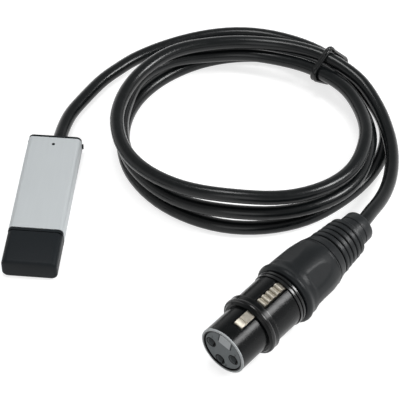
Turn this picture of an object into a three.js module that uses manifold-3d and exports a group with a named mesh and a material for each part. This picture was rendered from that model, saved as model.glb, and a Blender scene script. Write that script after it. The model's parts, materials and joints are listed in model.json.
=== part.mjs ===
// A USB to DMX interface: a slim aluminium stick with a capped USB plug, a round cord that lies coiled
// and tied, and a 3-pole female cable connector with a sprung latch.
// Millimetres, +Z up. Origin under the middle of the stick, the USB plug points to -Y.
import * as THREE from "three";
import { mergeVertices } from "three/addons/utils/BufferGeometryUtils.js";
import Module from "manifold-3d";

const wasm = await Module();
wasm.setup();

// General
const CLEAR = 0.3; // running and seating clearance between pieces
const OVERCUT = 1.0; // how far a cutting tool reaches past the face it opens

// Stick
const STICK_LENGTH = 56.64;
const STICK_SIDE = 2.83; // from the USB plug's side to the stick's side
const STICK_ABOVE = 1.325; // from the USB plug's top to the stick's top, and below it the same
const STICK_CORNER = 1.6;
const SLEEVE_WALL = 1.0;
const SLEEVE_INNER_CORNER = 0.7;
const LED_HOLE_RADIUS = 0.45;
const LED_FROM_REAR = 4.2;
const CAP_LENGTH = 13.3;
const CAP_EDGE = 0.9;
const CAP_CAVITY_CORNER = 0.8;
const BEZEL_PLATE = 0.9;
const BEZEL_CHEEK_DEPTH = 3.6;
const END_PLATE = 0.8;
const END_PLATE_EDGE = 0.35;
const END_BODY_DEPTH = 2.0;
const END_LUG_OUT = 0.5;
const END_LUG_HEIGHT = 2.0;
const END_LUG_LOW = 2.2;

// USB plug
const PLUG_WIDTH = 12.0;
const PLUG_HEIGHT = 4.5;
const PLUG_CORNER = 0.6;
const PLUG_SHEET = 0.35;
const PLUG_REACH = 12.0;
const PLUG_INSIDE = 5.2;
const PLUG_WINDOW_WIDTH = 2.5;
const PLUG_WINDOW_LENGTH = 2.0;
const PLUG_WINDOW_APART = 5.0;
const PLUG_WINDOW_FROM_TIP = 5.2;
const TONGUE_HEIGHT = 1.84;
const TONGUE_BACK_FROM_TIP = 0.8;
const TONGUE_GROOVE_DEPTH = 0.35;
const CONTACT_WIDTH = 1.0;
const CONTACT_THICK = 0.25;
const CONTACT_BACK_FROM_TONGUE = 1.1;
const CONTACT_X = [-3.5, -1.0, 1.0, 3.5];

// Circuit board and what it carries: [name, centre from the board's right side, centre from its front,
// width x, length y, height]
const BOARD_THICK = 1.0;
const BOARD_SIDE_GAP = 0.53;
const CHIPS = [
  ["usb_bridge_chip", 8.3, 5.0, 7.0, 7.0, 1.2],
  ["line_driver_chip", 8.8, 12.0, 5.0, 4.0, 1.5],
  ["crystal_can", 2.1, 5.0, 2.5, 5.0, 1.2],
  ["bulk_capacitor", 3.1, 12.0, 2.8, 3.5, 1.9],
];
const LED_WIDTH = 1.6;
const LED_LENGTH = 0.8;
const LED_HEIGHT = 0.6;
const WIRE_RADIUS = 0.4;
// Each wire in the stick: [start x and z from the cord's centre, pad x, pad y back from the cord's end]
const STICK_WIRES = [
  [-1.35, 0.825, -3.2, 6.52],
  [0.2, -0.375, 1.9, 7.52],
  [1.3, 0.525, 5.0, 6.52],
];

// Cord
const CORD_DIAMETER = 4.6;
const CORD_SIDES = 10;
const CORD_EXIT_X = 1.0;
const CORD_JOINT_GAP = 0.3;
// Stick lead: chosen points [x, y, z] of the centre line from the end plug to the coil
const STICK_LEAD = [
  [1.0, 29.6, 3.58],
  [1.35, 36.0, 2.95],
  [2.7, 43.5, 2.45],
  [6.3, 52.0, 2.33],
  [11.6, 61.9, 2.33],
  [17.4, 69.25, 2.33],
];
// Connector lead: chosen points of the centre line from the coil to the bend relief
const CONNECTOR_LEAD = [
  [110.82, 35.5, 7.15],
  [111.38, 28.6, 6.85],
  [111.24, 23.0, 6.7],
  [110.72, 18.3, 6.8],
  [109.8, 13.8, 7.2],
  [108.65, 9.8, 7.8],
  [107.1, 5.65, 8.6],
  [105.3, 1.7, 9.4],
];

// Coil: turns run clockwise seen from above. A lane is counted in pitches outward from the inner oval.
const COIL_GAP = 0.45;
const COIL_CENTRE = [61.6, 45.2];
const COIL_HALF_AXES = [40.6, 34.0];
const COIL_START_ANGLE = 135;
const COIL_STATIONS_PER_TURN = 16;
const COIL_SAMPLES_PER_TURN = 96;
const COIL_STEPS_PER_TURN = 24;
const COIL_SIDES = 6;
const COIL_LANE_SHARES = [
  2.051, 2.147, 2.175, 1.677, 1.087, 0.966, 1.415, 1.614, 1.985, 2.632, 2.791, 2.313,
  1.455, 0.44, -0.216, -0.539, -0.554, -0.322, -0.047, 0.061, -0.001, -0.05, 0.223, 0.973,
  2.22, 2.764, 2.682, 2.277, 1.482, 0.478, -0.151, -0.283, -0.535, -0.847, -1, -1.165,
  -1.157, -0.888, -0.375, 0.681, 1.902, 2.54, 2.545, 2.302, 1.726, 0.797, -0.082, -0.615,
  -0.85, -0.955, -0.832, -0.631, -0.22, 0.498, 1.127,
];
// Heights above a turn that lies on the floor, in pitches
const COIL_HEIGHT_SHARES = [
  0, 0, 0.025, 0, 0, 0, 0, 0, 0, 0, 0, 0,
  0, 0, 0, 0, 0, 0, 0, 0, 0, 0.017, 0.326, 0.904,
  1.025, 1.225, 1.313, 1.054, 1.041, 1.004, 1.031, 1.181, 1.119, 0.88, 0.908, 0.88,
  1.069, 1.504, 1.713, 1.936, 1.989, 2.327, 2.608, 2.343, 2.049, 1.962, 2.043, 2.176,
  2.252, 2.056, 1.903, 1.766, 1.646, 1.347, 0.989,
];

// Tie round the coil
const TIE_DIAMETER = 1.1;
const TIE_ABOVE_FLOOR = 0.1;
const TIE_ANGLE = 52;
const TIE_SPREAD_ANGLE = 42; // the cords rise onto the tie over this angle to each side
const TIE_WRAP_ANGLE = 385;
const TIE_START_ANGLE = 30;
const TIE_ADVANCE = 2.0; // how far one wrap moves along the cords
const TIE_SIDES = 7;
const TIE_STEPS = 44;

// Connector, measured along its axis from the nose's front
const CONNECTOR_NOSE = [63.06, -60.18];
const CONNECTOR_HEADING = [0.5807, 0.8141];
const CONNECTOR_ROLL = 9.8;
const ROUND_SEGMENTS = 48;
const NOSE_RADIUS = 7.95;
const NOSE_LENGTH = 11.4;
const NOSE_EDGE = 0.25;
const NOSE_BORE = 7.0;
const COLLAR_RADIUS = 9.65;
const COLLAR_END = 15.3;
const COLLAR_SLOPE = 0.95;
const COLLAR_EDGE = 0.35;
const BODY_RADIUS = 8.95;
const BODY_END = 25.3;
const TAIL_RADIUS = 8.45;
const TAIL_BORE = 6.4;
const TAIL_END = 34.0;
const INSERT_FACE = 0.3;
const INSERT_END = 20.3;
const SOCKET_BORE = 1.5;
const SOCKET_SIDE = 4.3;
const SOCKET_SIDE_DROP = -0.2;
const SOCKET_LOW = -4.7;
const SOCKET_TUBE_RADIUS = 1.2;
const SOCKET_TUBE_BORE = 0.8;
const SOCKET_FRONT = 1.5;
const SOCKET_DEPTH = 8.0;
const SOCKET_END = 24.0;
const KEY_WIDTH = 4.4;
const KEY_LOW = 2.9;
const KEY_DEPTH = 4.2;
const KEY_TOP = 6.2;
const SEAL_OUTER = 9.7;
const SEAL_LENGTH = 0.9;
const NUT_LIP_RADIUS = 10.6;
const NUT_LIP_LENGTH = 2.4;
const NUT_RADIUS = 10.4;
const NUT_TAPER_START = 44.5;
const NUT_END = 49.0;
const NUT_END_RADIUS = 9.2;
const NUT_FLAT_REACH = 9.8;
const NUT_FLATS = 6;
const NUT_FLAT_FROM = 30.5;
const NUT_FLAT_TO = 44.0;
const NUT_NECK_BORE = 5.8;
const RELIEF_NECK_FROM = 45.0;
const RELIEF_RIB_START_RADIUS = 7.9;
const RELIEF_RIB_END_RADIUS = 7.0;
const RELIEF_RIBS = 6;
const RELIEF_RIB_PITCH = 2.1;
const RELIEF_RIB_LENGTH = 1.2;
const RELIEF_GROOVE_DEPTH = 1.3;
const RELIEF_TIP_RADIUS = 5.3;
const RELIEF_END = 66.6;
const RELIEF_TIP_EDGE = 1.1;
const CHUCK_FROM = 36.5;
const CHUCK_TO = 44.4;
const CHUCK_RADIUS = 5.3;
const CHUCK_TAPER_RADIUS = 4.6;
const CHUCK_SLITS = 4;
const CHUCK_SLIT_WIDTH = 1.0;
const CHUCK_SLIT_LENGTH = 5.0;
const CORD_IN_NUT = 38.0;
const CONNECTOR_WIRE_RADIUS = 0.5;
const CONNECTOR_WIRE_SPREAD = 1.15;

// Latch, in the connector's own frame: along the axis and above it
const LATCH_WIDTH = 3.0;
const LATCH_SLOT_WIDTH = 4.0;
const LATCH_SLOT_FLOOR = 6.0;
const LATCH_SLOT_TOP = 8.6;
const LATCH_SLOT_FROM = 4.9;
const LATCH_WINDOW_TO = NOSE_LENGTH;
const LATCH_THUMB_FROM = COLLAR_END;
const LATCH_THUMB_WIDTH = 4.5;
const LATCH_CHANNEL_FLOOR = 5.3;
const LATCH_FRONT = 5.3;
const LATCH_UNDER = 7.1;
const LATCH_BEAM_TOP = 8.1;
const LATCH_HOOK_TOP = 8.35;
const LATCH_HOOK_STEP = 7.7;
const LATCH_THUMB_START = LATCH_THUMB_FROM + 0.5;
const LATCH_THUMB_END = 25.0;
const LATCH_THUMB_TOP = 9.0;
const LATCH_RIBS = 5;
const LATCH_RIB_RISE = 0.55;
const LATCH_PIVOT = [27.4, 7.2];
const LATCH_EYE_RADIUS = 1.15;
const LATCH_PIN_RADIUS = 0.35;
const LATCH_PIN_LENGTH = 5.6;
const SPRING_WIDTH = 2.4;
const SPRING_THICK = 0.25;
const SPRING_FROM = 12.5;
const SPRING_TO = 19.6;
const SPRING_RISE = 0.4;

// Sizes that follow from the ones above
const STICK_WIDTH = PLUG_WIDTH + 2 * STICK_SIDE;
const STICK_HEIGHT = PLUG_HEIGHT + 2 * STICK_ABOVE;
const STICK_FRONT = -STICK_LENGTH / 2;
const STICK_BACK = STICK_LENGTH / 2;
const STICK_MIDDLE = STICK_HEIGHT / 2;
const CAP_REAR = STICK_FRONT + CAP_LENGTH;
const BEZEL_FRONT = CAP_REAR + CLEAR;
const BEZEL_REAR = BEZEL_FRONT + BEZEL_PLATE;
const SLEEVE_FRONT = BEZEL_REAR + CLEAR;
const END_PLATE_FRONT = STICK_BACK - END_PLATE;
const SLEEVE_REAR = END_PLATE_FRONT - CLEAR;
const END_BODY_FRONT = END_PLATE_FRONT - END_BODY_DEPTH;
const SLEEVE_BORE_WIDTH = STICK_WIDTH - 2 * SLEEVE_WALL;
const SLEEVE_BORE_HEIGHT = STICK_HEIGHT - 2 * SLEEVE_WALL;
const PLUG_TIP = BEZEL_FRONT - PLUG_REACH;
const PLUG_REAR = BEZEL_FRONT + PLUG_INSIDE;
const CORD_RADIUS = CORD_DIAMETER / 2;
const COIL_PITCH = CORD_DIAMETER + COIL_GAP;
const CORD_HOLE = CORD_RADIUS + CLEAR;
const CORD_INNER_END = END_BODY_FRONT;
const BOARD_FRONT = PLUG_REAR + CLEAR;
const BOARD_BACK = END_BODY_FRONT - CLEAR;
const BOARD_WIDTH = SLEEVE_BORE_WIDTH - 2 * BOARD_SIDE_GAP;
const BOARD_LOW = SLEEVE_WALL + CLEAR;
const BOARD_TOP = BOARD_LOW + BOARD_THICK;
const NUT_FRONT = BODY_END + CLEAR + SEAL_LENGTH + CLEAR;
const NUT_BORE = TAIL_RADIUS + CLEAR;
const CONNECTOR_HEIGHT = NUT_LIP_RADIUS;

// Solids: closed geometries, and the joins and cuts of them.

// Merges a geometry's shared corners and turns it so that its faces point out.
function closed(geometry) {
  const bare = geometry.index ? geometry.toNonIndexed() : geometry.clone();
  bare.deleteAttribute("normal");
  bare.deleteAttribute("uv");
  const merged = mergeVertices(bare, 1e-4);
  const at = merged.attributes.position;
  const index = Array.from(merged.index.array);
  const kept = [];
  let volume = 0;
  const a = new THREE.Vector3();
  const b = new THREE.Vector3();
  const c = new THREE.Vector3();
  for (let i = 0; i < index.length; i += 3) {
    const [p, q, r] = index.slice(i, i + 3);
    if (p === q || q === r || r === p) continue;
    kept.push(p, q, r);
    a.fromBufferAttribute(at, p);
    b.fromBufferAttribute(at, q);
    c.fromBufferAttribute(at, r);
    volume += a.dot(b.cross(c));
  }
  if (volume < 0) {
    for (let i = 0; i < kept.length; i += 3) {
      const swap = kept[i + 1];
      kept[i + 1] = kept[i + 2];
      kept[i + 2] = swap;
    }
  }
  merged.setIndex(kept);
  return merged;
}

function solidOf(geometry) {
  const shut = closed(geometry);
  return new wasm.Manifold(
    new wasm.Mesh({
      numProp: 3,
      vertProperties: Float32Array.from(shut.attributes.position.array),
      triVerts: Uint32Array.from(shut.index.array),
    }),
  );
}

function geometryOf(solid) {
  const mesh = solid.getMesh();
  const positions = new Float32Array(mesh.numVert * 3);
  for (let i = 0; i < mesh.numVert; i++) {
    for (let k = 0; k < 3; k++) positions[3 * i + k] = mesh.vertProperties[i * mesh.numProp + k];
  }
  const geometry = new THREE.BufferGeometry();
  geometry.setAttribute("position", new THREE.BufferAttribute(positions, 3));
  geometry.setIndex(new THREE.BufferAttribute(Uint32Array.from(mesh.triVerts), 1));
  return geometry;
}

function cut(geometry, ...tools) {
  let solid = solidOf(geometry);
  for (const tool of tools) solid = solid.subtract(solidOf(tool));
  return geometryOf(solid);
}

function join(geometry, ...others) {
  let solid = solidOf(geometry);
  for (const other of others) solid = solid.add(solidOf(other));
  return geometryOf(solid);
}

// A box from its limits.
function boxFrom(xFrom, xTo, yFrom, yTo, zFrom, zTo) {
  const box = new THREE.BoxGeometry(xTo - xFrom, yTo - yFrom, zTo - zFrom);
  return box.translate((xFrom + xTo) / 2, (yFrom + yTo) / 2, (zFrom + zTo) / 2);
}

function roundedRectangle(width, height, corner, middleX, middleZ) {
  const left = middleX - width / 2;
  const right = middleX + width / 2;
  const low = middleZ - height / 2;
  const high = middleZ + height / 2;
  const shape = new THREE.Shape();
  shape.moveTo(left + corner, low);
  shape.lineTo(right - corner, low);
  shape.absarc(right - corner, low + corner, corner, -Math.PI / 2, 0);
  shape.lineTo(right, high - corner);
  shape.absarc(right - corner, high - corner, corner, 0, Math.PI / 2);
  shape.lineTo(left + corner, high);
  shape.absarc(left + corner, high - corner, corner, Math.PI / 2, Math.PI);
  shape.lineTo(left, low + corner);
  shape.absarc(left + corner, low + corner, corner, Math.PI, 1.5 * Math.PI);
  return shape;
}

// A section drawn in x and z, drawn out along y.
function alongY(shape, yFrom, yTo, curveSegments = 5) {
  const geometry = new THREE.ExtrudeGeometry(shape, { depth: yTo - yFrom, bevelEnabled: false, curveSegments });
  return geometry.rotateX(Math.PI / 2).translate(0, yTo, 0);
}

// The same with both ends rounded over by `edge`.
function alongYRounded(width, height, corner, middleZ, yFrom, yTo, edge) {
  const shape = roundedRectangle(width - 2 * edge, height - 2 * edge, corner - edge / 2, 0, middleZ);
  const geometry = new THREE.ExtrudeGeometry(shape, {
    depth: yTo - yFrom - 2 * edge,
    bevelEnabled: true,
    bevelThickness: edge,
    bevelSize: edge,
    bevelSegments: 3,
    curveSegments: 5,
  });
  return geometry.rotateX(Math.PI / 2).translate(0, yTo - edge, 0);
}

function cylinderY(radius, yFrom, yTo, x, z, segments = 24) {
  const geometry = new THREE.CylinderGeometry(radius, radius, yTo - yFrom, segments);
  return geometry.translate(x, (yFrom + yTo) / 2, z);
}

function cylinderX(radius, length, y, z, segments = 16) {
  const geometry = new THREE.CylinderGeometry(radius, radius, length, segments);
  return geometry.rotateZ(Math.PI / 2).translate(0, y, z);
}

function cylinderZ(radius, zFrom, zTo, x, y, segments = 20) {
  const geometry = new THREE.CylinderGeometry(radius, radius, zTo - zFrom, segments);
  return geometry.rotateX(Math.PI / 2).translate(x, y, (zFrom + zTo) / 2);
}

// A profile of [radius, along] turned round the y axis.
function turned(profile, segments = ROUND_SEGMENTS) {
  const points = profile.map(([radius, along]) => new THREE.Vector2(radius, along));
  return new THREE.LatheGeometry(points, segments);
}

function ring(profile, segments = ROUND_SEGMENTS) {
  return turned([...profile, profile[0]], segments);
}

// A side view of [y, z] points drawn out across x.
function acrossX(points, width) {
  const shape = new THREE.Shape(points.map(([y, z]) => new THREE.Vector2(y, z)));
  const geometry = new THREE.ExtrudeGeometry(shape, { depth: width, bevelEnabled: false });
  const turn = new THREE.Matrix4().makeBasis(
    new THREE.Vector3(0, 1, 0),
    new THREE.Vector3(0, 0, 1),
    new THREE.Vector3(1, 0, 0),
  );
  return geometry.applyMatrix4(turn).translate(-width / 2, 0, 0);
}

// A round bar along a smooth curve through points.
function roundBar(points, radius, sides, steps) {
  const path = new THREE.CatmullRomCurve3(
    points.map(([x, y, z]) => new THREE.Vector3(x, y, z)),
    false,
    "centripetal",
  );
  const section = [];
  for (let i = 0; i < sides; i++) {
    const angle = (2 * Math.PI * i) / sides;
    section.push(new THREE.Vector2(radius * Math.cos(angle), radius * Math.sin(angle)));
  }
  return new THREE.ExtrudeGeometry(new THREE.Shape(section), { steps, bevelEnabled: false, extrudePath: path });
}

const root = new THREE.Group();

function look(colour, roughness, metalness) {
  return new THREE.MeshStandardMaterial({ color: colour, roughness, metalness });
}

const LOOKS = {
  aluminium: look(0xc0c6c8, 0.35, 0.9),
  blackPlastic: look(0x26292b, 0.5, 0),
  boot: look(0x303436, 0.6, 0),
  cord: look(0x232627, 0.55, 0),
  shell: look(0x17181a, 0.3, 0.4),
  steel: look(0xc9ccd0, 0.25, 1),
  nickel: look(0xb4ae9f, 0.3, 0.9),
  gold: look(0xc7a04a, 0.3, 1),
  insert: look(0x5c6060, 0.6, 0),
  key: look(0x94989a, 0.5, 0),
  board: look(0x1f5a34, 0.6, 0),
  chip: look(0x1b1c1e, 0.5, 0),
  tan: look(0xb89b62, 0.5, 0),
  clear: look(0xdfe8d8, 0.3, 0),
  wireRed: look(0xa02020, 0.5, 0),
  wireWhite: look(0xd8d8d4, 0.5, 0),
  wireBare: look(0xb87a4a, 0.4, 0.8),
};

function add(parent, name, geometry, material) {
  const mesh = new THREE.Mesh(closed(geometry), material);
  mesh.geometry.computeVertexNormals();
  mesh.name = name;
  parent.add(mesh);
}

// The stick, its cap and what is inside.

function housingSleeve() {
  const section = roundedRectangle(STICK_WIDTH, STICK_HEIGHT, STICK_CORNER, 0, STICK_MIDDLE);
  section.holes.push(
    roundedRectangle(SLEEVE_BORE_WIDTH, SLEEVE_BORE_HEIGHT, SLEEVE_INNER_CORNER, 0, STICK_MIDDLE),
  );
  const tube = alongY(section, SLEEVE_FRONT, SLEEVE_REAR);
  const lightHole = cylinderZ(
    LED_HOLE_RADIUS,
    STICK_HEIGHT - SLEEVE_WALL - OVERCUT,
    STICK_HEIGHT + OVERCUT,
    0,
    STICK_BACK - LED_FROM_REAR,
  );
  return cut(tube, lightHole);
}

function rearEndPlug() {
  const plate = alongYRounded(
    STICK_WIDTH,
    STICK_HEIGHT,
    STICK_CORNER,
    STICK_MIDDLE,
    END_PLATE_FRONT - END_PLATE_EDGE,
    STICK_BACK,
    END_PLATE_EDGE,
  );
  const squared = cut(
    plate,
    boxFrom(
      -STICK_WIDTH,
      STICK_WIDTH,
      END_PLATE_FRONT - OVERCUT,
      END_PLATE_FRONT,
      -OVERCUT,
      STICK_HEIGHT + OVERCUT,
    ),
  );
  const body = alongY(
    roundedRectangle(
      SLEEVE_BORE_WIDTH - 2 * CLEAR,
      SLEEVE_BORE_HEIGHT - 2 * CLEAR,
      SLEEVE_INNER_CORNER,
      0,
      STICK_MIDDLE,
    ),
    END_BODY_FRONT,
    END_PLATE_FRONT + END_PLATE / 2,
  );
  // One lug on each side, in one bar through the plate.
  const lugs = boxFrom(
    -STICK_WIDTH / 2 - END_LUG_OUT,
    STICK_WIDTH / 2 + END_LUG_OUT,
    END_PLATE_FRONT,
    END_PLATE_FRONT + END_PLATE / 2,
    END_LUG_LOW,
    END_LUG_LOW + END_LUG_HEIGHT,
  );
  const hole = cylinderY(
    CORD_HOLE,
    END_BODY_FRONT - OVERCUT,
    STICK_BACK + OVERCUT,
    CORD_EXIT_X,
    STICK_MIDDLE,
  );
  return cut(join(squared, body, lugs), hole);
}

function frontBezel() {
  const plate = roundedRectangle(STICK_WIDTH, STICK_HEIGHT, STICK_CORNER, 0, STICK_MIDDLE);
  const opening = boxFrom(
    -PLUG_WIDTH / 2 - CLEAR,
    PLUG_WIDTH / 2 + CLEAR,
    BEZEL_FRONT - OVERCUT,
    BEZEL_REAR + BEZEL_CHEEK_DEPTH + OVERCUT,
    STICK_MIDDLE - PLUG_HEIGHT / 2 - CLEAR,
    STICK_MIDDLE + PLUG_HEIGHT / 2 + CLEAR,
  );
  const cheeks = alongY(
    roundedRectangle(
      SLEEVE_BORE_WIDTH - 2 * CLEAR,
      SLEEVE_BORE_HEIGHT - 2 * CLEAR,
      SLEEVE_INNER_CORNER,
      0,
      STICK_MIDDLE,
    ),
    BEZEL_REAR - BEZEL_PLATE / 2,
    BEZEL_REAR + BEZEL_CHEEK_DEPTH,
  );
  return cut(join(alongY(plate, BEZEL_FRONT, BEZEL_REAR), cheeks), opening);
}

function usbCap() {
  const block = alongYRounded(
    STICK_WIDTH,
    STICK_HEIGHT,
    STICK_CORNER,
    STICK_MIDDLE,
    STICK_FRONT,
    CAP_REAR + 2 * CAP_EDGE,
    CAP_EDGE,
  );
  const behind = boxFrom(
    -STICK_WIDTH,
    STICK_WIDTH,
    CAP_REAR,
    CAP_REAR + 2 * CAP_EDGE + OVERCUT,
    -OVERCUT,
    STICK_HEIGHT + OVERCUT,
  );
  const cavity = alongY(
    roundedRectangle(
      PLUG_WIDTH + 2 * CLEAR,
      PLUG_HEIGHT + 2 * CLEAR,
      CAP_CAVITY_CORNER,
      0,
      STICK_MIDDLE,
    ),
    PLUG_TIP - CLEAR,
    CAP_REAR + OVERCUT,
  );
  return cut(block, behind, cavity);
}

function usbPlugShell() {
  const section = roundedRectangle(PLUG_WIDTH, PLUG_HEIGHT, PLUG_CORNER, 0, STICK_MIDDLE);
  section.holes.push(
    roundedRectangle(
      PLUG_WIDTH - 2 * PLUG_SHEET,
      PLUG_HEIGHT - 2 * PLUG_SHEET,
      PLUG_CORNER - PLUG_SHEET,
      0,
      STICK_MIDDLE,
    ),
  );
  const windows = [];
  for (const side of [-1, 1]) {
    const middle = (side * PLUG_WINDOW_APART) / 2;
    windows.push(
      boxFrom(
        middle - PLUG_WINDOW_WIDTH / 2,
        middle + PLUG_WINDOW_WIDTH / 2,
        PLUG_TIP + PLUG_WINDOW_FROM_TIP,
        PLUG_TIP + PLUG_WINDOW_FROM_TIP + PLUG_WINDOW_LENGTH,
        -OVERCUT,
        STICK_HEIGHT + OVERCUT,
      ),
    );
  }
  return cut(alongY(section, PLUG_TIP, PLUG_REAR, 3), ...windows);
}

const TONGUE_LOW = STICK_MIDDLE - PLUG_HEIGHT / 2 + PLUG_SHEET + CLEAR;
const TONGUE_TOP = TONGUE_LOW + TONGUE_HEIGHT;
const GROOVE_FLOOR = TONGUE_TOP - TONGUE_GROOVE_DEPTH;
const GROOVE_HALF = CONTACT_WIDTH / 2 + CLEAR;

function usbTongue() {
  const half = PLUG_WIDTH / 2 - PLUG_SHEET - CLEAR;
  const section = new THREE.Shape();
  section.moveTo(-half, TONGUE_LOW);
  section.lineTo(half, TONGUE_LOW);
  section.lineTo(half, TONGUE_TOP);
  for (const x of [...CONTACT_X].reverse()) {
    section.lineTo(x + GROOVE_HALF, TONGUE_TOP);
    section.lineTo(x + GROOVE_HALF, GROOVE_FLOOR);
    section.lineTo(x - GROOVE_HALF, GROOVE_FLOOR);
    section.lineTo(x - GROOVE_HALF, TONGUE_TOP);
  }
  section.lineTo(-half, TONGUE_TOP);
  return alongY(section, PLUG_TIP + TONGUE_BACK_FROM_TIP, PLUG_REAR);
}

function usbContact(x) {
  return boxFrom(
    x - CONTACT_WIDTH / 2,
    x + CONTACT_WIDTH / 2,
    PLUG_TIP + TONGUE_BACK_FROM_TIP + CONTACT_BACK_FROM_TONGUE,
    PLUG_REAR,
    GROOVE_FLOOR + CLEAR,
    GROOVE_FLOOR + CLEAR + CONTACT_THICK,
  );
}

function onBoard(x, y, width, length, height) {
  return boxFrom(
    x - width / 2,
    x + width / 2,
    y - length / 2,
    y + length / 2,
    BOARD_TOP + CLEAR,
    BOARD_TOP + CLEAR + height,
  );
}

// A wire from the cord's end down to its pad on the board.
function stickWire(offsetX, offsetZ, padX, padBack) {
  const fromX = CORD_EXIT_X + offsetX;
  const fromZ = STICK_MIDDLE + offsetZ;
  const padY = CORD_INNER_END - padBack;
  const padZ = BOARD_TOP + CLEAR + WIRE_RADIUS;
  const start = CORD_INNER_END - CLEAR;
  return roundBar(
    [
      [fromX, start, fromZ],
      [fromX + (padX - fromX) / 4, start - CLEAR - WIRE_RADIUS, fromZ],
      [padX, padY + 2 * WIRE_RADIUS + CLEAR, padZ],
      [padX, padY, padZ],
    ],
    WIRE_RADIUS,
    8,
    8,
  );
}

add(root, "housing_sleeve", housingSleeve(), LOOKS.aluminium);
add(root, "rear_end_plug", rearEndPlug(), LOOKS.blackPlastic);
add(root, "front_bezel", frontBezel(), LOOKS.blackPlastic);
add(root, "usb_cap", usbCap(), LOOKS.blackPlastic);
add(root, "usb_plug_shell", usbPlugShell(), LOOKS.steel);
add(root, "usb_tongue", usbTongue(), LOOKS.key);
CONTACT_X.forEach((x, i) => add(root, "usb_contact_" + (i + 1), usbContact(x), LOOKS.gold));
add(
  root,
  "circuit_board",
  boxFrom(-BOARD_WIDTH / 2, BOARD_WIDTH / 2, BOARD_FRONT, BOARD_BACK, BOARD_LOW, BOARD_TOP),
  LOOKS.board,
);
for (const [name, fromSide, fromFront, width, length, height] of CHIPS) {
  const material = { crystal_can: LOOKS.steel, bulk_capacitor: LOOKS.tan }[name] ?? LOOKS.chip;
  const middle = BOARD_WIDTH / 2 - fromSide;
  add(root, name, onBoard(middle, BOARD_FRONT + fromFront, width, length, height), material);
}
add(
  root,
  "status_led",
  onBoard(0, STICK_BACK - LED_FROM_REAR, LED_WIDTH, LED_LENGTH, LED_HEIGHT),
  LOOKS.clear,
);
const WIRE_LOOKS = [LOOKS.wireRed, LOOKS.wireWhite, LOOKS.wireBare];
STICK_WIRES.forEach((wire, i) => add(root, "stick_wire_" + (i + 1), stickWire(...wire), WIRE_LOOKS[i]));

// The coil.

// Catmull-Rom value between the entries of a list.
function smoothValue(list, at) {
  const i = Math.max(0, Math.min(list.length - 2, Math.floor(at)));
  const f = at - i;
  const p0 = list[Math.max(0, i - 1)];
  const p1 = list[i];
  const p2 = list[i + 1];
  const p3 = list[Math.min(list.length - 1, i + 2)];
  const bend = (2 * p0 - 5 * p1 + 4 * p2 - p3) * f * f + (3 * p1 - p0 - 3 * p2 + p3) * f * f * f;
  return 0.5 * (2 * p1 + (p2 - p0) * f + bend);
}

const COIL_TURNS = (COIL_LANE_SHARES.length - 1) / COIL_STATIONS_PER_TURN;
const COIL_SAMPLES = Math.round(COIL_TURNS * COIL_SAMPLES_PER_TURN);

function degreesFromTie(angle) {
  return Math.abs(THREE.MathUtils.euclideanModulo(angle - TIE_ANGLE + 180, 360) - 180);
}

// How far the tie under the cords lifts them at an angle.
function tieLift(angle) {
  const away = degreesFromTie(angle);
  if (away >= TIE_SPREAD_ANGLE) return 0;
  return (TIE_DIAMETER + CLEAR + TIE_ABOVE_FLOOR) * (0.5 + 0.5 * Math.cos((Math.PI * away) / TIE_SPREAD_ANGLE));
}

function coilAngle(k) {
  return COIL_START_ANGLE - (360 * k) / COIL_SAMPLES_PER_TURN;
}

function coilOutward(angle) {
  const a = THREE.MathUtils.degToRad(angle);
  const out = new THREE.Vector2(Math.cos(a) / COIL_HALF_AXES[0], Math.sin(a) / COIL_HALF_AXES[1]);
  return out.normalize();
}

function coilPoint(angle, lane, height) {
  const a = THREE.MathUtils.degToRad(angle);
  const out = coilOutward(angle);
  return new THREE.Vector3(
    COIL_CENTRE[0] + COIL_HALF_AXES[0] * Math.cos(a) + out.x * lane * COIL_PITCH,
    COIL_CENTRE[1] + COIL_HALF_AXES[1] * Math.sin(a) + out.y * lane * COIL_PITCH,
    CORD_RADIUS + height * COIL_PITCH + tieLift(angle),
  );
}

function coilValues(shares) {
  const values = [];
  for (let k = 0; k <= COIL_SAMPLES; k++) {
    values.push(smoothValue(shares, (k * COIL_STATIONS_PER_TURN) / COIL_SAMPLES_PER_TURN));
  }
  return values;
}

const coilLanes = coilValues(COIL_LANE_SHARES);
const coilRise = coilValues(COIL_HEIGHT_SHARES).map((rise) => Math.max(rise, 0));
const coilFine = coilLanes.map((lane, k) => coilPoint(coilAngle(k), lane, coilRise[k]));
const COIL_STRIDE = COIL_SAMPLES_PER_TURN / COIL_STEPS_PER_TURN;
const coilPath = coilFine.filter((_, k) => k % COIL_STRIDE === 0);

function unit(from, to) {
  return new THREE.Vector3().subVectors(to, from).normalize();
}

// One unbroken tube through the points, its ends square to its first and last stretch.
function tubeThrough(path, radius, sides) {
  const positions = [];
  const index = [];
  const up = new THREE.Vector3(0, 0, 1);
  path.forEach((point, i) => {
    const before = path[Math.max(0, i - 1)];
    const after = path[Math.min(path.length - 1, i + 1)];
    const along = unit(before, after);
    const side = new THREE.Vector3().crossVectors(along, up).normalize();
    const top = new THREE.Vector3().crossVectors(side, along);
    for (let k = 0; k < sides; k++) {
      const angle = (2 * Math.PI * (k + 0.5)) / sides;
      const corner = point.clone();
      corner.addScaledVector(side, radius * Math.cos(angle));
      corner.addScaledVector(top, radius * Math.sin(angle));
      positions.push(corner.x, corner.y, corner.z);
    }
  });
  for (let i = 0; i + 1 < path.length; i++) {
    for (let k = 0; k < sides; k++) {
      const a = i * sides + k;
      const b = i * sides + ((k + 1) % sides);
      index.push(a, a + sides, b, b, a + sides, b + sides);
    }
  }
  const last = (path.length - 1) * sides;
  for (let k = 1; k + 1 < sides; k++) {
    index.push(0, k, k + 1);
    index.push(last, last + k + 1, last + k);
  }
  const geometry = new THREE.BufferGeometry();
  geometry.setAttribute("position", new THREE.BufferAttribute(new Float32Array(positions), 3));
  geometry.setIndex(index);
  return geometry;
}

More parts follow.
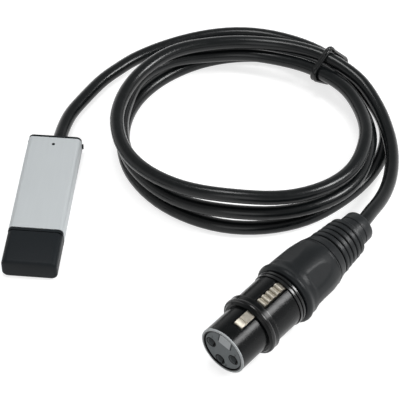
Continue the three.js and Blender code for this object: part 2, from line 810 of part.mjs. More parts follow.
// Parts of the coil this many diameters apart along its length count as apart.
const LEAST_GAP_REACH = 5;

// The least gap between parts of the coil that lie apart along its length.
function leastGap(path, diameter) {
  const along = [0];
  for (let i = 1; i < path.length; i++) along.push(along[i - 1] + path[i].distanceTo(path[i - 1]));
  let least = Infinity;
  for (let i = 0; i < path.length; i++) {
    for (let j = 0; j < path.length; j++) {
      const gap = path[i].distanceTo(path[j]);
      if (along[j] - along[i] > LEAST_GAP_REACH * diameter && gap < least) least = gap;
    }
  }
  return { least: least - diameter, length: along[along.length - 1] };
}

const coilFirst = unit(coilPath[0], coilPath[1]);
const coilLast = unit(coilPath[coilPath.length - 2], coilPath[coilPath.length - 1]);
const coilSize = leastGap(coilFine, CORD_DIAMETER);
console.log(
  "coil length",
  coilSize.length.toFixed(1),
  "mm, least gap to itself",
  coilSize.least.toFixed(2),
  "mm",
);
add(root, "cord_coil", tubeThrough(coilPath, CORD_RADIUS, COIL_SIDES), LOOKS.cord);

// The tie round the coil.

// The strands of the coil at the tie, as [outward, height] of their centres.
function strandsAtTie() {
  const strands = [];
  for (let k = 0; k <= COIL_SAMPLES; k++) {
    if (degreesFromTie(coilAngle(k)) <= 180 / COIL_SAMPLES_PER_TURN) {
      strands.push([coilLanes[k] * COIL_PITCH, coilFine[k].z]);
    }
  }
  return strands;
}

function twistTie() {
  const strands = strandsAtTie();
  const reach = CORD_RADIUS + CLEAR + TIE_DIAMETER / 2;
  const out = coilOutward(TIE_ANGLE);
  const along = new THREE.Vector3(out.y, -out.x, 0);
  const foot = coilPoint(TIE_ANGLE, 0, 0);
  const points = [];
  for (let i = 0; i <= TIE_STEPS; i++) {
    const share = i / TIE_STEPS;
    const angle = THREE.MathUtils.degToRad(TIE_START_ANGLE + share * TIE_WRAP_ANGLE);
    const direction = [Math.cos(angle), Math.sin(angle)];
    let far = strands[0];
    for (const strand of strands) {
      const here = strand[0] * direction[0] + strand[1] * direction[1];
      if (here > far[0] * direction[0] + far[1] * direction[1]) far = strand;
    }
    const outward = far[0] + reach * direction[0];
    const advance = (share - 0.5) * TIE_ADVANCE;
    points.push([
      foot.x + out.x * outward + along.x * advance,
      foot.y + out.y * outward + along.y * advance,
      far[1] + reach * direction[1],
    ]);
  }
  return roundBar(points, TIE_DIAMETER / 2, TIE_SIDES, TIE_STEPS);
}

add(root, "twist_tie", twistTie(), LOOKS.cord);

// The connector, in its own frame: x to the right, y along its axis from the nose, z to the latch.

const connector = new THREE.Group();
const heading = new THREE.Vector3(...CONNECTOR_HEADING, 0).normalize();
const acrossFlat = new THREE.Vector3().crossVectors(heading, new THREE.Vector3(0, 0, 1));
const roll = new THREE.Matrix4().makeRotationAxis(heading, THREE.MathUtils.degToRad(CONNECTOR_ROLL));
const stance = new THREE.Matrix4().makeBasis(acrossFlat, heading, new THREE.Vector3(0, 0, 1));
const connectorTurn = roll.clone().multiply(stance);
connector.quaternion.setFromRotationMatrix(connectorTurn);
connector.position.set(...CONNECTOR_NOSE, CONNECTOR_HEIGHT);
root.add(connector);

function onAxis(along) {
  return connector.position.clone().addScaledVector(heading, along);
}

function connectorShell() {
  const body = ring([
    [NOSE_BORE, 0],
    [NOSE_RADIUS - NOSE_EDGE, 0],
    [NOSE_RADIUS, NOSE_EDGE],
    [NOSE_RADIUS, NOSE_LENGTH],
    [COLLAR_RADIUS - COLLAR_SLOPE, NOSE_LENGTH],
    [COLLAR_RADIUS, NOSE_LENGTH + COLLAR_SLOPE],
    [COLLAR_RADIUS, COLLAR_END - COLLAR_EDGE],
    [COLLAR_RADIUS - COLLAR_EDGE, COLLAR_END],
    [BODY_RADIUS, COLLAR_END],
    [BODY_RADIUS, BODY_END],
    [TAIL_RADIUS, BODY_END],
    [TAIL_RADIUS, TAIL_END],
    [TAIL_BORE, TAIL_END],
    [TAIL_BORE, INSERT_END + CLEAR],
    [NOSE_BORE, INSERT_END + CLEAR],
  ]);
  const slotEnd = LATCH_PIVOT[0] + LATCH_EYE_RADIUS + CLEAR;
  const slot = LATCH_SLOT_WIDTH / 2;
  const thumb = LATCH_THUMB_WIDTH / 2;
  const clearOfAll = COLLAR_RADIUS + OVERCUT;
  return cut(
    body,
    boxFrom(-slot, slot, LATCH_SLOT_FROM, slotEnd, LATCH_SLOT_FLOOR, LATCH_SLOT_TOP),
    boxFrom(-slot, slot, LATCH_SLOT_FROM, LATCH_WINDOW_TO, LATCH_SLOT_TOP - CLEAR, clearOfAll),
    boxFrom(-thumb, thumb, LATCH_THUMB_FROM, BODY_END, LATCH_SLOT_TOP - CLEAR, clearOfAll),
    cylinderX(LATCH_PIN_RADIUS + CLEAR, LATCH_PIN_LENGTH + 2 * CLEAR, ...LATCH_PIVOT),
  );
}

const SOCKETS = [
  [-SOCKET_SIDE, SOCKET_SIDE_DROP],
  [0, SOCKET_LOW],
  [SOCKET_SIDE, SOCKET_SIDE_DROP],
];

function socketInsert() {
  const block = cylinderY(NOSE_BORE - CLEAR, INSERT_FACE, INSERT_END, 0, 0, ROUND_SEGMENTS);
  const bores = SOCKETS.map(([x, z]) =>
    cylinderY(SOCKET_BORE, INSERT_FACE - OVERCUT, INSERT_END + OVERCUT, x, z),
  );
  const keyHalf = KEY_WIDTH / 2 + CLEAR;
  const keyway = boxFrom(
    -keyHalf,
    keyHalf,
    INSERT_FACE - OVERCUT,
    INSERT_FACE + KEY_DEPTH + CLEAR,
    KEY_LOW - CLEAR,
    NOSE_RADIUS,
  );
  const channelHalf = LATCH_SLOT_WIDTH / 2;
  const channel = boxFrom(
    -channelHalf,
    channelHalf,
    INSERT_FACE - OVERCUT,
    INSERT_END + OVERCUT,
    LATCH_CHANNEL_FLOOR,
    NOSE_RADIUS,
  );
  return cut(block, ...bores, keyway, channel);
}

function keyBlock() {
  return boxFrom(-KEY_WIDTH / 2, KEY_WIDTH / 2, INSERT_FACE, INSERT_FACE + KEY_DEPTH, KEY_LOW, KEY_TOP);
}

function socketContact([x, z]) {
  const tube = turned(
    [
      [0, SOCKET_DEPTH],
      [SOCKET_TUBE_BORE, SOCKET_DEPTH],
      [SOCKET_TUBE_BORE, SOCKET_FRONT],
      [SOCKET_TUBE_RADIUS, SOCKET_FRONT],
      [SOCKET_TUBE_RADIUS, SOCKET_END],
      [0, SOCKET_END],
    ],
    20,
  );
  return tube.translate(x, 0, z);
}

// A wire from a contact's solder end to the cord's end in the nut.
function connectorWire([x, z]) {
  const share = CONNECTOR_WIRE_SPREAD / Math.hypot(x, z);
  const from = SOCKET_END + CLEAR;
  const to = CORD_IN_NUT - CLEAR;
  const quarter = (to - from) / 4;
  return roundBar(
    [
      [x, from, z],
      [x, from + quarter, z],
      [x * share, to - quarter, z * share],
      [x * share, to, z * share],
    ],
    CONNECTOR_WIRE_RADIUS,
    8,
    8,
  );
}

function latchLever() {
  const [pivotY, pivotZ] = LATCH_PIVOT;
  const thumbLength = LATCH_THUMB_END - LATCH_THUMB_START;
  const outline = [
    [LATCH_FRONT, LATCH_UNDER],
    [pivotY, LATCH_UNDER],
    [pivotY, LATCH_BEAM_TOP],
    [LATCH_THUMB_END, LATCH_BEAM_TOP],
    [LATCH_THUMB_END, LATCH_THUMB_TOP],
  ];
  for (let rib = LATCH_RIBS; rib > 0; rib--) {
    const back = LATCH_THUMB_START + (thumbLength * rib) / LATCH_RIBS;
    const front = LATCH_THUMB_START + (thumbLength * (rib - 1)) / LATCH_RIBS;
    outline.push([back - thumbLength / LATCH_RIBS / 4, LATCH_THUMB_TOP + LATCH_RIB_RISE]);
    outline.push([front, LATCH_THUMB_TOP]);
  }
  outline.push(
    [LATCH_THUMB_START, LATCH_BEAM_TOP],
    [LATCH_HOOK_STEP, LATCH_BEAM_TOP],
    [LATCH_HOOK_STEP, LATCH_HOOK_TOP],
    [LATCH_FRONT + CLEAR, LATCH_HOOK_TOP],
    [LATCH_FRONT, LATCH_BEAM_TOP - CLEAR],
  );
  const beam = acrossX(outline, LATCH_WIDTH);
  const eye = cylinderX(LATCH_EYE_RADIUS, LATCH_WIDTH, pivotY, pivotZ, 20);
  const bore = cylinderX(LATCH_PIN_RADIUS + CLEAR, LATCH_WIDTH + 2 * OVERCUT, pivotY, pivotZ);
  return cut(join(beam, eye), bore);
}

function latchSpring() {
  const low = LATCH_CHANNEL_FLOOR + CLEAR;
  return acrossX(
    [
      [SPRING_FROM, low],
      [SPRING_TO, low + SPRING_RISE],
      [SPRING_TO, low + SPRING_RISE + SPRING_THICK],
      [SPRING_FROM, low + SPRING_THICK],
    ],
    SPRING_WIDTH,
  );
}

function sealRing() {
  return ring([
    [NUT_BORE, BODY_END + CLEAR],
    [SEAL_OUTER, BODY_END + CLEAR],
    [SEAL_OUTER, BODY_END + CLEAR + SEAL_LENGTH],
    [NUT_BORE, BODY_END + CLEAR + SEAL_LENGTH],
  ]);
}

function backNut() {
  const body = ring([
    [NUT_BORE, NUT_FRONT],
    [NUT_LIP_RADIUS, NUT_FRONT],
    [NUT_LIP_RADIUS, NUT_FRONT + NUT_LIP_LENGTH],
    [NUT_RADIUS, NUT_FRONT + NUT_LIP_LENGTH + CLEAR],
    [NUT_RADIUS, NUT_TAPER_START],
    [NUT_END_RADIUS, NUT_END],
    [NUT_NECK_BORE, NUT_END],
    [NUT_NECK_BORE, TAIL_END + CLEAR],
    [NUT_BORE, TAIL_END + CLEAR],
  ]);
  const flats = [];
  for (let i = 0; i < NUT_FLATS; i++) {
    const flat = boxFrom(
      -NUT_RADIUS,
      NUT_RADIUS,
      NUT_FLAT_FROM,
      NUT_FLAT_TO,
      NUT_FLAT_REACH,
      NUT_RADIUS + OVERCUT,
    );
    flats.push(flat.rotateY((2 * Math.PI * (i + 0.5)) / NUT_FLATS));
  }
  return cut(body, ...flats);
}

function bendRelief() {
  const start = NUT_END + CLEAR;
  const profile = [
    [CORD_HOLE, RELIEF_NECK_FROM],
    [NUT_NECK_BORE - CLEAR, RELIEF_NECK_FROM],
    [NUT_NECK_BORE - CLEAR, start],
  ];
  for (let rib = 0; rib < RELIEF_RIBS; rib++) {
    const share = rib / (RELIEF_RIBS - 1);
    const radius = RELIEF_RIB_START_RADIUS + (RELIEF_RIB_END_RADIUS - RELIEF_RIB_START_RADIUS) * share;
    const from = start + rib * RELIEF_RIB_PITCH;
    const to = from + RELIEF_RIB_LENGTH;
    if (rib > 0) profile.push([radius - RELIEF_GROOVE_DEPTH, from]);
    profile.push([radius, from], [radius, to], [radius - RELIEF_GROOVE_DEPTH, to]);
  }
  profile.push(
    [RELIEF_TIP_RADIUS, start + RELIEF_RIBS * RELIEF_RIB_PITCH],
    [RELIEF_TIP_RADIUS, RELIEF_END - RELIEF_TIP_EDGE],
    [RELIEF_TIP_RADIUS - RELIEF_TIP_EDGE, RELIEF_END],
    [CORD_HOLE, RELIEF_END],
  );
  return ring(profile);
}

function cordChuck() {
  const body = ring(
    [
      [CORD_HOLE, CHUCK_FROM],
      [CHUCK_RADIUS, CHUCK_FROM],
      [CHUCK_RADIUS, CHUCK_TO - CHUCK_SLIT_LENGTH],
      [CHUCK_TAPER_RADIUS, CHUCK_TO],
      [CORD_HOLE, CHUCK_TO],
    ],
    32,
  );
  const slits = [];
  for (let i = 0; i < CHUCK_SLITS; i++) {
    const slit = boxFrom(
      -CHUCK_SLIT_WIDTH / 2,
      CHUCK_SLIT_WIDTH / 2,
      CHUCK_TO - CHUCK_SLIT_LENGTH,
      CHUCK_TO + OVERCUT,
      0,
      CHUCK_RADIUS + OVERCUT,
    );
    slits.push(slit.rotateY((2 * Math.PI * i) / CHUCK_SLITS));
  }
  return cut(body, ...slits);
}

add(connector, "connector_shell", connectorShell(), LOOKS.shell);
add(connector, "socket_insert", socketInsert(), LOOKS.insert);
add(connector, "key_block", keyBlock(), LOOKS.key);
SOCKETS.forEach((socket, i) => {
  add(connector, "socket_contact_" + (i + 1), socketContact(socket), LOOKS.gold);
  add(connector, "connector_wire_" + (i + 1), connectorWire(socket), WIRE_LOOKS[i]);
});
add(connector, "latch_lever", latchLever(), LOOKS.nickel);
add(connector, "latch_pin", cylinderX(LATCH_PIN_RADIUS, LATCH_PIN_LENGTH, ...LATCH_PIVOT), LOOKS.steel);
add(connector, "latch_spring", latchSpring(), LOOKS.steel);
add(connector, "seal_ring", sealRing(), LOOKS.blackPlastic);
add(connector, "back_nut", backNut(), LOOKS.boot);
add(connector, "bend_relief", bendRelief(), LOOKS.boot);
add(connector, "cord_chuck", cordChuck(), LOOKS.key);

// The cord's two free stretches.

const CORD_END_STRAIGHT = CORD_DIAMETER;
const coilStart = coilPath[0].clone().addScaledVector(coilFirst, -CORD_JOINT_GAP);
const coilStartStraight = coilStart.clone().addScaledVector(coilFirst, -CORD_END_STRAIGHT);
const stickLead = [
  [CORD_EXIT_X, CORD_INNER_END, STICK_MIDDLE],
  [CORD_EXIT_X, CORD_INNER_END + CORD_END_STRAIGHT / 2, STICK_MIDDLE],
  ...STICK_LEAD,
  coilStartStraight.toArray(),
  coilStart.toArray(),
];
add(root, "cord_stick_lead", roundBar(stickLead, CORD_RADIUS, CORD_SIDES, 24), LOOKS.cord);

const coilEnd = coilPath[coilPath.length - 1].clone().addScaledVector(coilLast, CORD_JOINT_GAP);
const coilEndStraight = coilEnd.clone().addScaledVector(coilLast, CORD_END_STRAIGHT);
const connectorLead = [
  coilEnd.toArray(),
  coilEndStraight.toArray(),
  ...CONNECTOR_LEAD,
  onAxis(RELIEF_END).toArray(),
  onAxis((RELIEF_END + CORD_IN_NUT) / 2).toArray(),
  onAxis(CORD_IN_NUT).toArray(),
];
add(root, "cord_connector_lead", roundBar(connectorLead, CORD_RADIUS, CORD_SIDES, 30), LOOKS.cord);

export default root;
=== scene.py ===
"""A USB to DMX interface: a slim aluminium stick with a capped USB plug, a tied coil of round cord and
a three pin cable connector. Metres, +Z up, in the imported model's frame.
"""

import json
import math

import bmesh
import bpy
from mathutils import Matrix, Vector

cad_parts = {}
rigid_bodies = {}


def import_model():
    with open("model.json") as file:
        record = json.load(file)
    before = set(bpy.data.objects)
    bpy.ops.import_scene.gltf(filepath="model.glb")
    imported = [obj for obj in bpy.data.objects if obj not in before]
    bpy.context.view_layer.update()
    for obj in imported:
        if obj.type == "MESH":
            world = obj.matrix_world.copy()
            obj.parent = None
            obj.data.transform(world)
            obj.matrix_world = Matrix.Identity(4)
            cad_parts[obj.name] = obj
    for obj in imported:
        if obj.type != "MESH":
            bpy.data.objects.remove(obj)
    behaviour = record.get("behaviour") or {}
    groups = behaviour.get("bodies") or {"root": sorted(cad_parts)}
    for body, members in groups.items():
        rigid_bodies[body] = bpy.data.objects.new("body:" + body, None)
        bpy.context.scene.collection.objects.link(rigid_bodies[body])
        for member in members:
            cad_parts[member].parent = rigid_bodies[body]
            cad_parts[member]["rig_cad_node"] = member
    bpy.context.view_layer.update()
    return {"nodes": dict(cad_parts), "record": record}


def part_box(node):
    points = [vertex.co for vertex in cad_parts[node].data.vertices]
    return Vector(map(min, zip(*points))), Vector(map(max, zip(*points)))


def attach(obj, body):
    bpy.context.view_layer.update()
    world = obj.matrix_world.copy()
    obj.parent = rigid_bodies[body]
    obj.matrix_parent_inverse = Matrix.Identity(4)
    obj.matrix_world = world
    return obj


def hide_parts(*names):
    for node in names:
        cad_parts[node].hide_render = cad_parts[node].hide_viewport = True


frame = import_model()
nodes = frame["nodes"]
MM = 0.001
BODY = "interface"
WHITE = (1.0, 1.0, 1.0, 1.0)


def new_object(name, data):
    thing = bpy.data.objects.new(name, data)
    bpy.context.scene.collection.objects.link(thing)
    return thing


def aim(thing, at, target):
    """Stands a camera or a lamp at a point and turns it to another."""
    thing.location = at
    thing.rotation_euler = (Vector(target) - Vector(at)).to_track_quat("-Z", "Y").to_euler()


# Camera

CAMERA_AT = (0.08754, -0.39062, 0.4263)
CAMERA_LOOKS_AT = (0.04988, 0.0101, 0.0)
CAMERA_LENS = 162.0
CAMERA_SENSOR = 36.0
CAMERA_NEAR = 0.01
CAMERA_FAR = 20.0

camera_data = bpy.data.cameras.new("camera")
camera_data.lens = CAMERA_LENS
camera_data.sensor_width = CAMERA_SENSOR
camera_data.clip_start = CAMERA_NEAR
camera_data.clip_end = CAMERA_FAR
camera = new_object("camera", camera_data)
aim(camera, CAMERA_AT, CAMERA_LOOKS_AT)
bpy.context.scene.camera = camera

# The cord's route, in millimetres: the values of the part's source, and one bend of its own

CLEAR = 0.3
CORD_DIAMETER = 4.6
CORD_RADIUS = CORD_DIAMETER / 2
STICK_MIDDLE = 3.575
CORD_EXIT_X = 1.0
CORD_INNER_END = 25.52
STICK_LEAD = [
    (1.0, 29.6, 3.58),
    (1.35, 36.0, 2.95),
    (2.7, 43.5, 2.45),
    (6.3, 52.0, 2.33),
    (11.6, 61.9, 2.33),
    (17.4, 69.25, 2.33),
]
CONNECTOR_LEAD = [
    (110.82, 35.5, 7.15),
    (111.38, 28.6, 6.85),
    (111.24, 23.0, 6.7),
    (110.72, 18.3, 6.8),
    (109.8, 13.8, 7.2),
    (108.65, 9.8, 7.8),
    (107.1, 5.65, 8.6),
    (105.3, 1.7, 9.4),
]
COIL_GAP = 0.45
COIL_PITCH = CORD_DIAMETER + COIL_GAP
COIL_CENTRE = (61.6, 45.2)
COIL_HALF_AXES = (40.6, 34.0)
COIL_START_ANGLE = 135
COIL_START_SAMPLES = 4
STATIONS_PER_TURN = 16
SAMPLES_PER_TURN = 96
LANE_SHARES = [
    2.051, 2.147, 2.175, 1.677, 1.087, 0.966, 1.415, 1.614, 1.985, 2.632, 2.791, 2.313,
    1.455, 0.44, -0.216, -0.539, -0.554, -0.322, -0.047, 0.061, -0.001, -0.05, 0.223, 0.973,
    2.22, 2.764, 2.682, 2.277, 1.482, 0.478, -0.151, -0.283, -0.535, -0.847, -1, -1.165,
    -1.157, -0.888, -0.375, 0.681, 1.902, 2.54, 2.545, 2.302, 1.726, 0.797, -0.082, -0.615,
    -0.85, -0.955, -0.832, -0.631, -0.22, 0.498, 1.127,
]
HEIGHT_SHARES = [
    0, 0, 0.025, 0, 0, 0, 0, 0, 0, 0, 0, 0,
    0, 0, 0, 0, 0, 0, 0, 0, 0, 0.017, 0.326, 0.904,
    1.025, 1.225, 1.313, 1.054, 1.041, 1.004, 1.031, 1.181, 1.119, 0.88, 0.908, 0.88,
    1.069, 1.504, 1.713, 1.936, 1.989, 2.327, 2.608, 2.343, 2.049, 1.962, 2.043, 2.176,
    2.252, 2.056, 1.903, 1.766, 1.646, 1.347, 0.989,
]
TIE_DIAMETER = 1.1
TIE_ABOVE_FLOOR = 0.1
TIE_ANGLE = 52
TIE_SPREAD_ANGLE = 42
CONNECTOR_NOSE = Vector((63.06, -60.18, 10.6))
CONNECTOR_HEADING = Vector((0.5807, 0.8141, 0.0)).normalized()
CONNECTOR_ROLL = math.radians(9.8)
RELIEF_END = 66.6
CORD_IN_NUT = 38.0
CORD_STEP = 1.5
SHORTEST_SPAN = 1e-6
# The visible cord leaves its last turn in one long bend, where the part's solids have a join.
BEND_SAMPLES = 12
BEND = [
    (99.67, 61.13, 9.87),
    (106.03, 51.09, 7.83),
    (109.57, 40.92, 6.79),
    (110.92, 34.07, 6.48),
    (111.37, 28.26, 6.45),
    (111.25, 22.97, 6.57),
]
LEAD_AFTER_BEND = CONNECTOR_LEAD[3:]
JOIN_REACH = 9
JOIN_ROUNDS = 60

ACROSS_FLAT = Vector((CONNECTOR_HEADING.y, -CONNECTOR_HEADING.x, 0.0))
UPRIGHT = Vector((0.0, 0.0, 1.0))
CONNECTOR_X = ACROSS_FLAT * math.cos(CONNECTOR_ROLL) - UPRIGHT * math.sin(CONNECTOR_ROLL)
CONNECTOR_Z = ACROSS_FLAT * math.sin(CONNECTOR_ROLL) + UPRIGHT * math.cos(CONNECTOR_ROLL)


def in_connector(x, y, z):
    """A point given in the connector's own frame, in the shared frame's millimetres."""
    return CONNECTOR_NOSE + CONNECTOR_X * x + CONNECTOR_HEADING * y + CONNECTOR_Z * z


def smooth_value(values, at):
    """A value on the smooth curve through evenly spaced values."""
    i = max(0, min(len(values) - 2, math.floor(at)))
    f = at - i
    p0 = values[max(0, i - 1)]
    p1 = values[i]
    p2 = values[i + 1]
    p3 = values[min(len(values) - 1, i + 2)]
    bend = (2 * p0 - 5 * p1 + 4 * p2 - p3) * f * f + (3 * p1 - p0 - 3 * p2 + p3) * f**3
    return 0.5 * (2 * p1 + (p2 - p0) * f + bend)


COIL_TURNS = (len(LANE_SHARES) - 1) / STATIONS_PER_TURN
COIL_SAMPLES = round(COIL_TURNS * SAMPLES_PER_TURN)


def tie_lift(angle):
    """How far the strands rise near the tie, which runs under them."""
    away = abs((angle - TIE_ANGLE + 180) % 360 - 180)
    if away >= TIE_SPREAD_ANGLE:
        return 0.0
    lift = TIE_DIAMETER + CLEAR + TIE_ABOVE_FLOOR
    return lift * (0.5 + 0.5 * math.cos(math.pi * away / TIE_SPREAD_ANGLE))


def coil_outward(angle):
    a = math.radians(angle)
    x = math.cos(a) / COIL_HALF_AXES[0]
    y = math.sin(a) / COIL_HALF_AXES[1]
    return Vector((x, y, 0.0)).normalized()


def coil_point(angle, lane, height):
    a = math.radians(angle)
    out = coil_outward(angle)
    return Vector((
        COIL_CENTRE[0] + COIL_HALF_AXES[0] * math.cos(a) + out.x * lane * COIL_PITCH,
        COIL_CENTRE[1] + COIL_HALF_AXES[1] * math.sin(a) + out.y * lane * COIL_PITCH,
        CORD_RADIUS + height * COIL_PITCH + tie_lift(angle),
    ))


def coil_angle(k):
    return COIL_START_ANGLE - 360 * k / SAMPLES_PER_TURN


def through(points, step):
    """A centripetal Catmull-Rom curve through points, sampled about every step."""
    points = [Vector(p) for p in points]
    ends = [points[0] * 2 - points[1]] + points + [points[-1] * 2 - points[-2]]
    samples = []
    for i in range(1, len(ends) - 2):
        p0, p1, p2, p3 = ends[i - 1:i + 3]
        t1 = max(SHORTEST_SPAN, (p1 - p0).length) ** 0.5
        t2 = t1 + max(SHORTEST_SPAN, (p2 - p1).length) ** 0.5
        t3 = t2 + max(SHORTEST_SPAN, (p3 - p2).length) ** 0.5
        count = max(2, round((p2 - p1).length / step))
        for k in range(count):
            t = t1 + (t2 - t1) * k / count
            a1 = p0 * ((t1 - t) / t1) + p1 * (t / t1)
            a2 = p1 * ((t2 - t) / (t2 - t1)) + p2 * ((t - t1) / (t2 - t1))
            a3 = p2 * ((t3 - t) / (t3 - t2)) + p3 * ((t - t2) / (t3 - t2))
            b1 = a1 * ((t2 - t) / t2) + a2 * (t / t2)
            b2 = a2 * ((t3 - t) / (t3 - t1)) + a3 * ((t - t1) / (t3 - t1))
            samples.append(b1 * ((t2 - t) / (t2 - t1)) + b2 * ((t - t1) / (t2 - t1)))
    samples.append(points[-1])
    return samples


def coil_values(shares):
    return [
        smooth_value(shares, k * STATIONS_PER_TURN / SAMPLES_PER_TURN)
        for k in range(COIL_SAMPLES + 1)
    ]


def eased(line, middle):
    """The line with the few points around middle drawn into one even bend."""
    line = list(line)
    for _ in range(JOIN_ROUNDS):
        for i in range(middle - JOIN_REACH, middle + JOIN_REACH + 1):
            line[i] = (line[i - 2] * -1 + line[i - 1] * 4 + line[i + 1] * 4 + line[i + 2] * -1) / 6
    return line


coil_lanes = coil_values(LANE_SHARES)
coil_rise = [max(0.0, rise) for rise in coil_values(HEIGHT_SHARES)]
coil_line = [
    coil_point(coil_angle(k), coil_lanes[k], coil_rise[k])
    for k in range(COIL_SAMPLES + 1)
]
coil_first = (coil_line[COIL_START_SAMPLES] - coil_line[0]).normalized()

stick_lead = through(
    [
        (CORD_EXIT_X, CORD_INNER_END, STICK_MIDDLE),
        (CORD_EXIT_X, CORD_INNER_END + CORD_DIAMETER / 2, STICK_MIDDLE),
        *STICK_LEAD,
        coil_line[0] - coil_first * (CLEAR + CORD_DIAMETER),
        coil_line[0],
    ],
    CORD_STEP,
)
connector_lead = through(
    [
        coil_line[-BEND_SAMPLES - 2],
        coil_line[-BEND_SAMPLES],
        *BEND,
        *LEAD_AFTER_BEND,
        in_connector(0, RELIEF_END, 0),
        in_connector(0, (RELIEF_END + CORD_IN_NUT) / 2, 0),
        in_connector(0, CORD_IN_NUT, 0),
    ],
    CORD_STEP,
)
cord_line = stick_lead[:-1] + coil_line[:-BEND_SAMPLES - 2] + connector_lead
cord_line = eased(cord_line, len(stick_lead) - 1)

# Meshes


def metres(points):
    return [tuple(Vector(p) * MM) for p in points]


def mesh_piece(name, vertices, faces):
    """A new object from points in millimetres."""
    mesh = bpy.data.meshes.new(name)
    mesh.from_pydata(metres(vertices), [], faces)
    mesh.validate()
    mesh.polygons.foreach_set("use_smooth", [True] * len(mesh.polygons))
    mesh.update()
    return new_object(name, mesh)


def band(here, there, sides):
    """The faces between two rings of vertices, given by the number of each ring's first vertex."""
    faces = []
    for k in range(sides):
        n = (k + 1) % sides
        faces.append((here + k, here + n, there + n, there + k))
    return faces


def tube(line, radius, sides, dome=0):
    """Vertices and faces of a tube along a line; its ends can close in domes of a few rings."""
    line = [Vector(p) for p in line]
    count = len(line)
    rings = []
    normal = None
    for i, point in enumerate(line):
        along = (line[min(count - 1, i + 1)] - line[max(0, i - 1)]).normalized()
        if normal is None:
            normal = along.orthogonal().normalized()
        normal = (normal - along * normal.dot(along)).normalized()
        rings.append((point, along, normal.copy(), along.cross(normal), radius))
    start = []
    end = []
    for k in range(dome):
        a = math.pi / 2 * (k + 0.5) / dome
        point, along, n, b, r = rings[0]
        start.append((point - along * r * math.cos(a), along, n, b, r * math.sin(a)))
        point, along, n, b, r = rings[-1]
        end.append((point + along * r * math.sin(a), along, n, b, r * math.cos(a)))
    rings = start + rings + end
    vertices = []
    faces = []
    for point, _, n, b, r in rings:
        for k in range(sides):
            angle = 2 * math.pi * k / sides
            vertices.append(point + (n * math.cos(angle) + b * math.sin(angle)) * r)
    for i in range(len(rings) - 1):
        faces += band(i * sides, (i + 1) * sides, sides)
    faces.append(tuple(range(sides - 1, -1, -1)))
    last = (len(rings) - 1) * sides
    faces.append(tuple(last + k for k in range(sides)))
    return vertices, faces


# Materials

GRAIN_DETAIL = 4.0
BUMP_DETAIL = 2.0
NOISE_LOW = 0.3
NOISE_HIGH = 0.7


class Nodes:
    """A material's node tree, with short calls for the nodes it is made of."""

    def __init__(self, name):
        self.material = bpy.data.materials.new(name)
        self.material.use_nodes = True
        self.tree = self.material.node_tree
        self.tree.nodes.clear()
        self.out = self.tree.nodes.new("ShaderNodeOutputMaterial")
        self.shader = self.tree.nodes.new("ShaderNodeBsdfPrincipled")
        self.tree.links.new(self.shader.outputs["BSDF"], self.out.inputs["Surface"])
        self.place = self.tree.nodes.new("ShaderNodeTexCoord").outputs["Object"]

    def link(self, source, target):
        self.tree.links.new(source, target)

    def noise(self, scale, detail, stretch):
        mapping = self.tree.nodes.new("ShaderNodeMapping")
        mapping.inputs["Scale"].default_value = stretch
        self.link(self.place, mapping.inputs["Vector"])
        noise = self.tree.nodes.new("ShaderNodeTexNoise")
        noise.inputs["Scale"].default_value = scale
        noise.inputs["Detail"].default_value = detail
        self.link(mapping.outputs["Vector"], noise.inputs["Vector"])
        return noise.outputs["Fac"]

    def between(self, fac, low, high):
        ramp = self.tree.nodes.new("ShaderNodeMapRange")
        ramp.inputs["From Min"].default_value = NOISE_LOW
        ramp.inputs["From Max"].default_value = NOISE_HIGH
        ramp.inputs["To Min"].default_value = low
        ramp.inputs["To Max"].default_value = high
        self.link(fac, ramp.inputs["Value"])
        return ramp.outputs["Result"]

    def colours(self, fac, low, high):
        mix = self.tree.nodes.new("ShaderNodeMix")
        mix.data_type = "RGBA"
        mix.inputs["A"].default_value = colour(low)
        mix.inputs["B"].default_value = colour(high)
        self.link(self.between(fac, 0.0, 1.0), mix.inputs["Factor"])
        return mix.outputs["Result"]

    def bump(self, height, distance):
        bump = self.tree.nodes.new("ShaderNodeBump")
        bump.inputs["Distance"].default_value = distance
        bump.inputs["Strength"].default_value = 1.0
        self.link(height, bump.inputs["Height"])
        self.link(bump.outputs["Normal"], self.shader.inputs["Normal"])


def colour(values):
    """A linear colour from 0 to 255 screen values."""
    out = []
    for v in values:
        s = v / 255
        out.append(s / 12.92 if s <= 0.04045 else ((s + 0.055) / 1.055) ** 2.4)
    return (*out, 1.0)


def finish_of(
    name,
    low,
    high,
    metallic,
    rough_low,
    rough_high,
    grain,
    stretch=(1.0, 1.0, 1.0),
    bump=0.0,
    bump_grain=None,
    specular=0.5,
):
    """A surface whose colour and roughness vary a little with a grain, with fine bumps."""
    n = Nodes(name)
    fac = n.noise(grain, GRAIN_DETAIL, stretch)
    n.link(n.colours(fac, low, high), n.shader.inputs["Base Color"])
    n.link(n.between(fac, rough_low, rough_high), n.shader.inputs["Roughness"])
    n.shader.inputs["Metallic"].default_value = metallic
    n.shader.inputs["Specular IOR Level"].default_value = specular
    if bump:
        n.bump(n.noise(bump_grain, BUMP_DETAIL, stretch), bump)
    return n.material


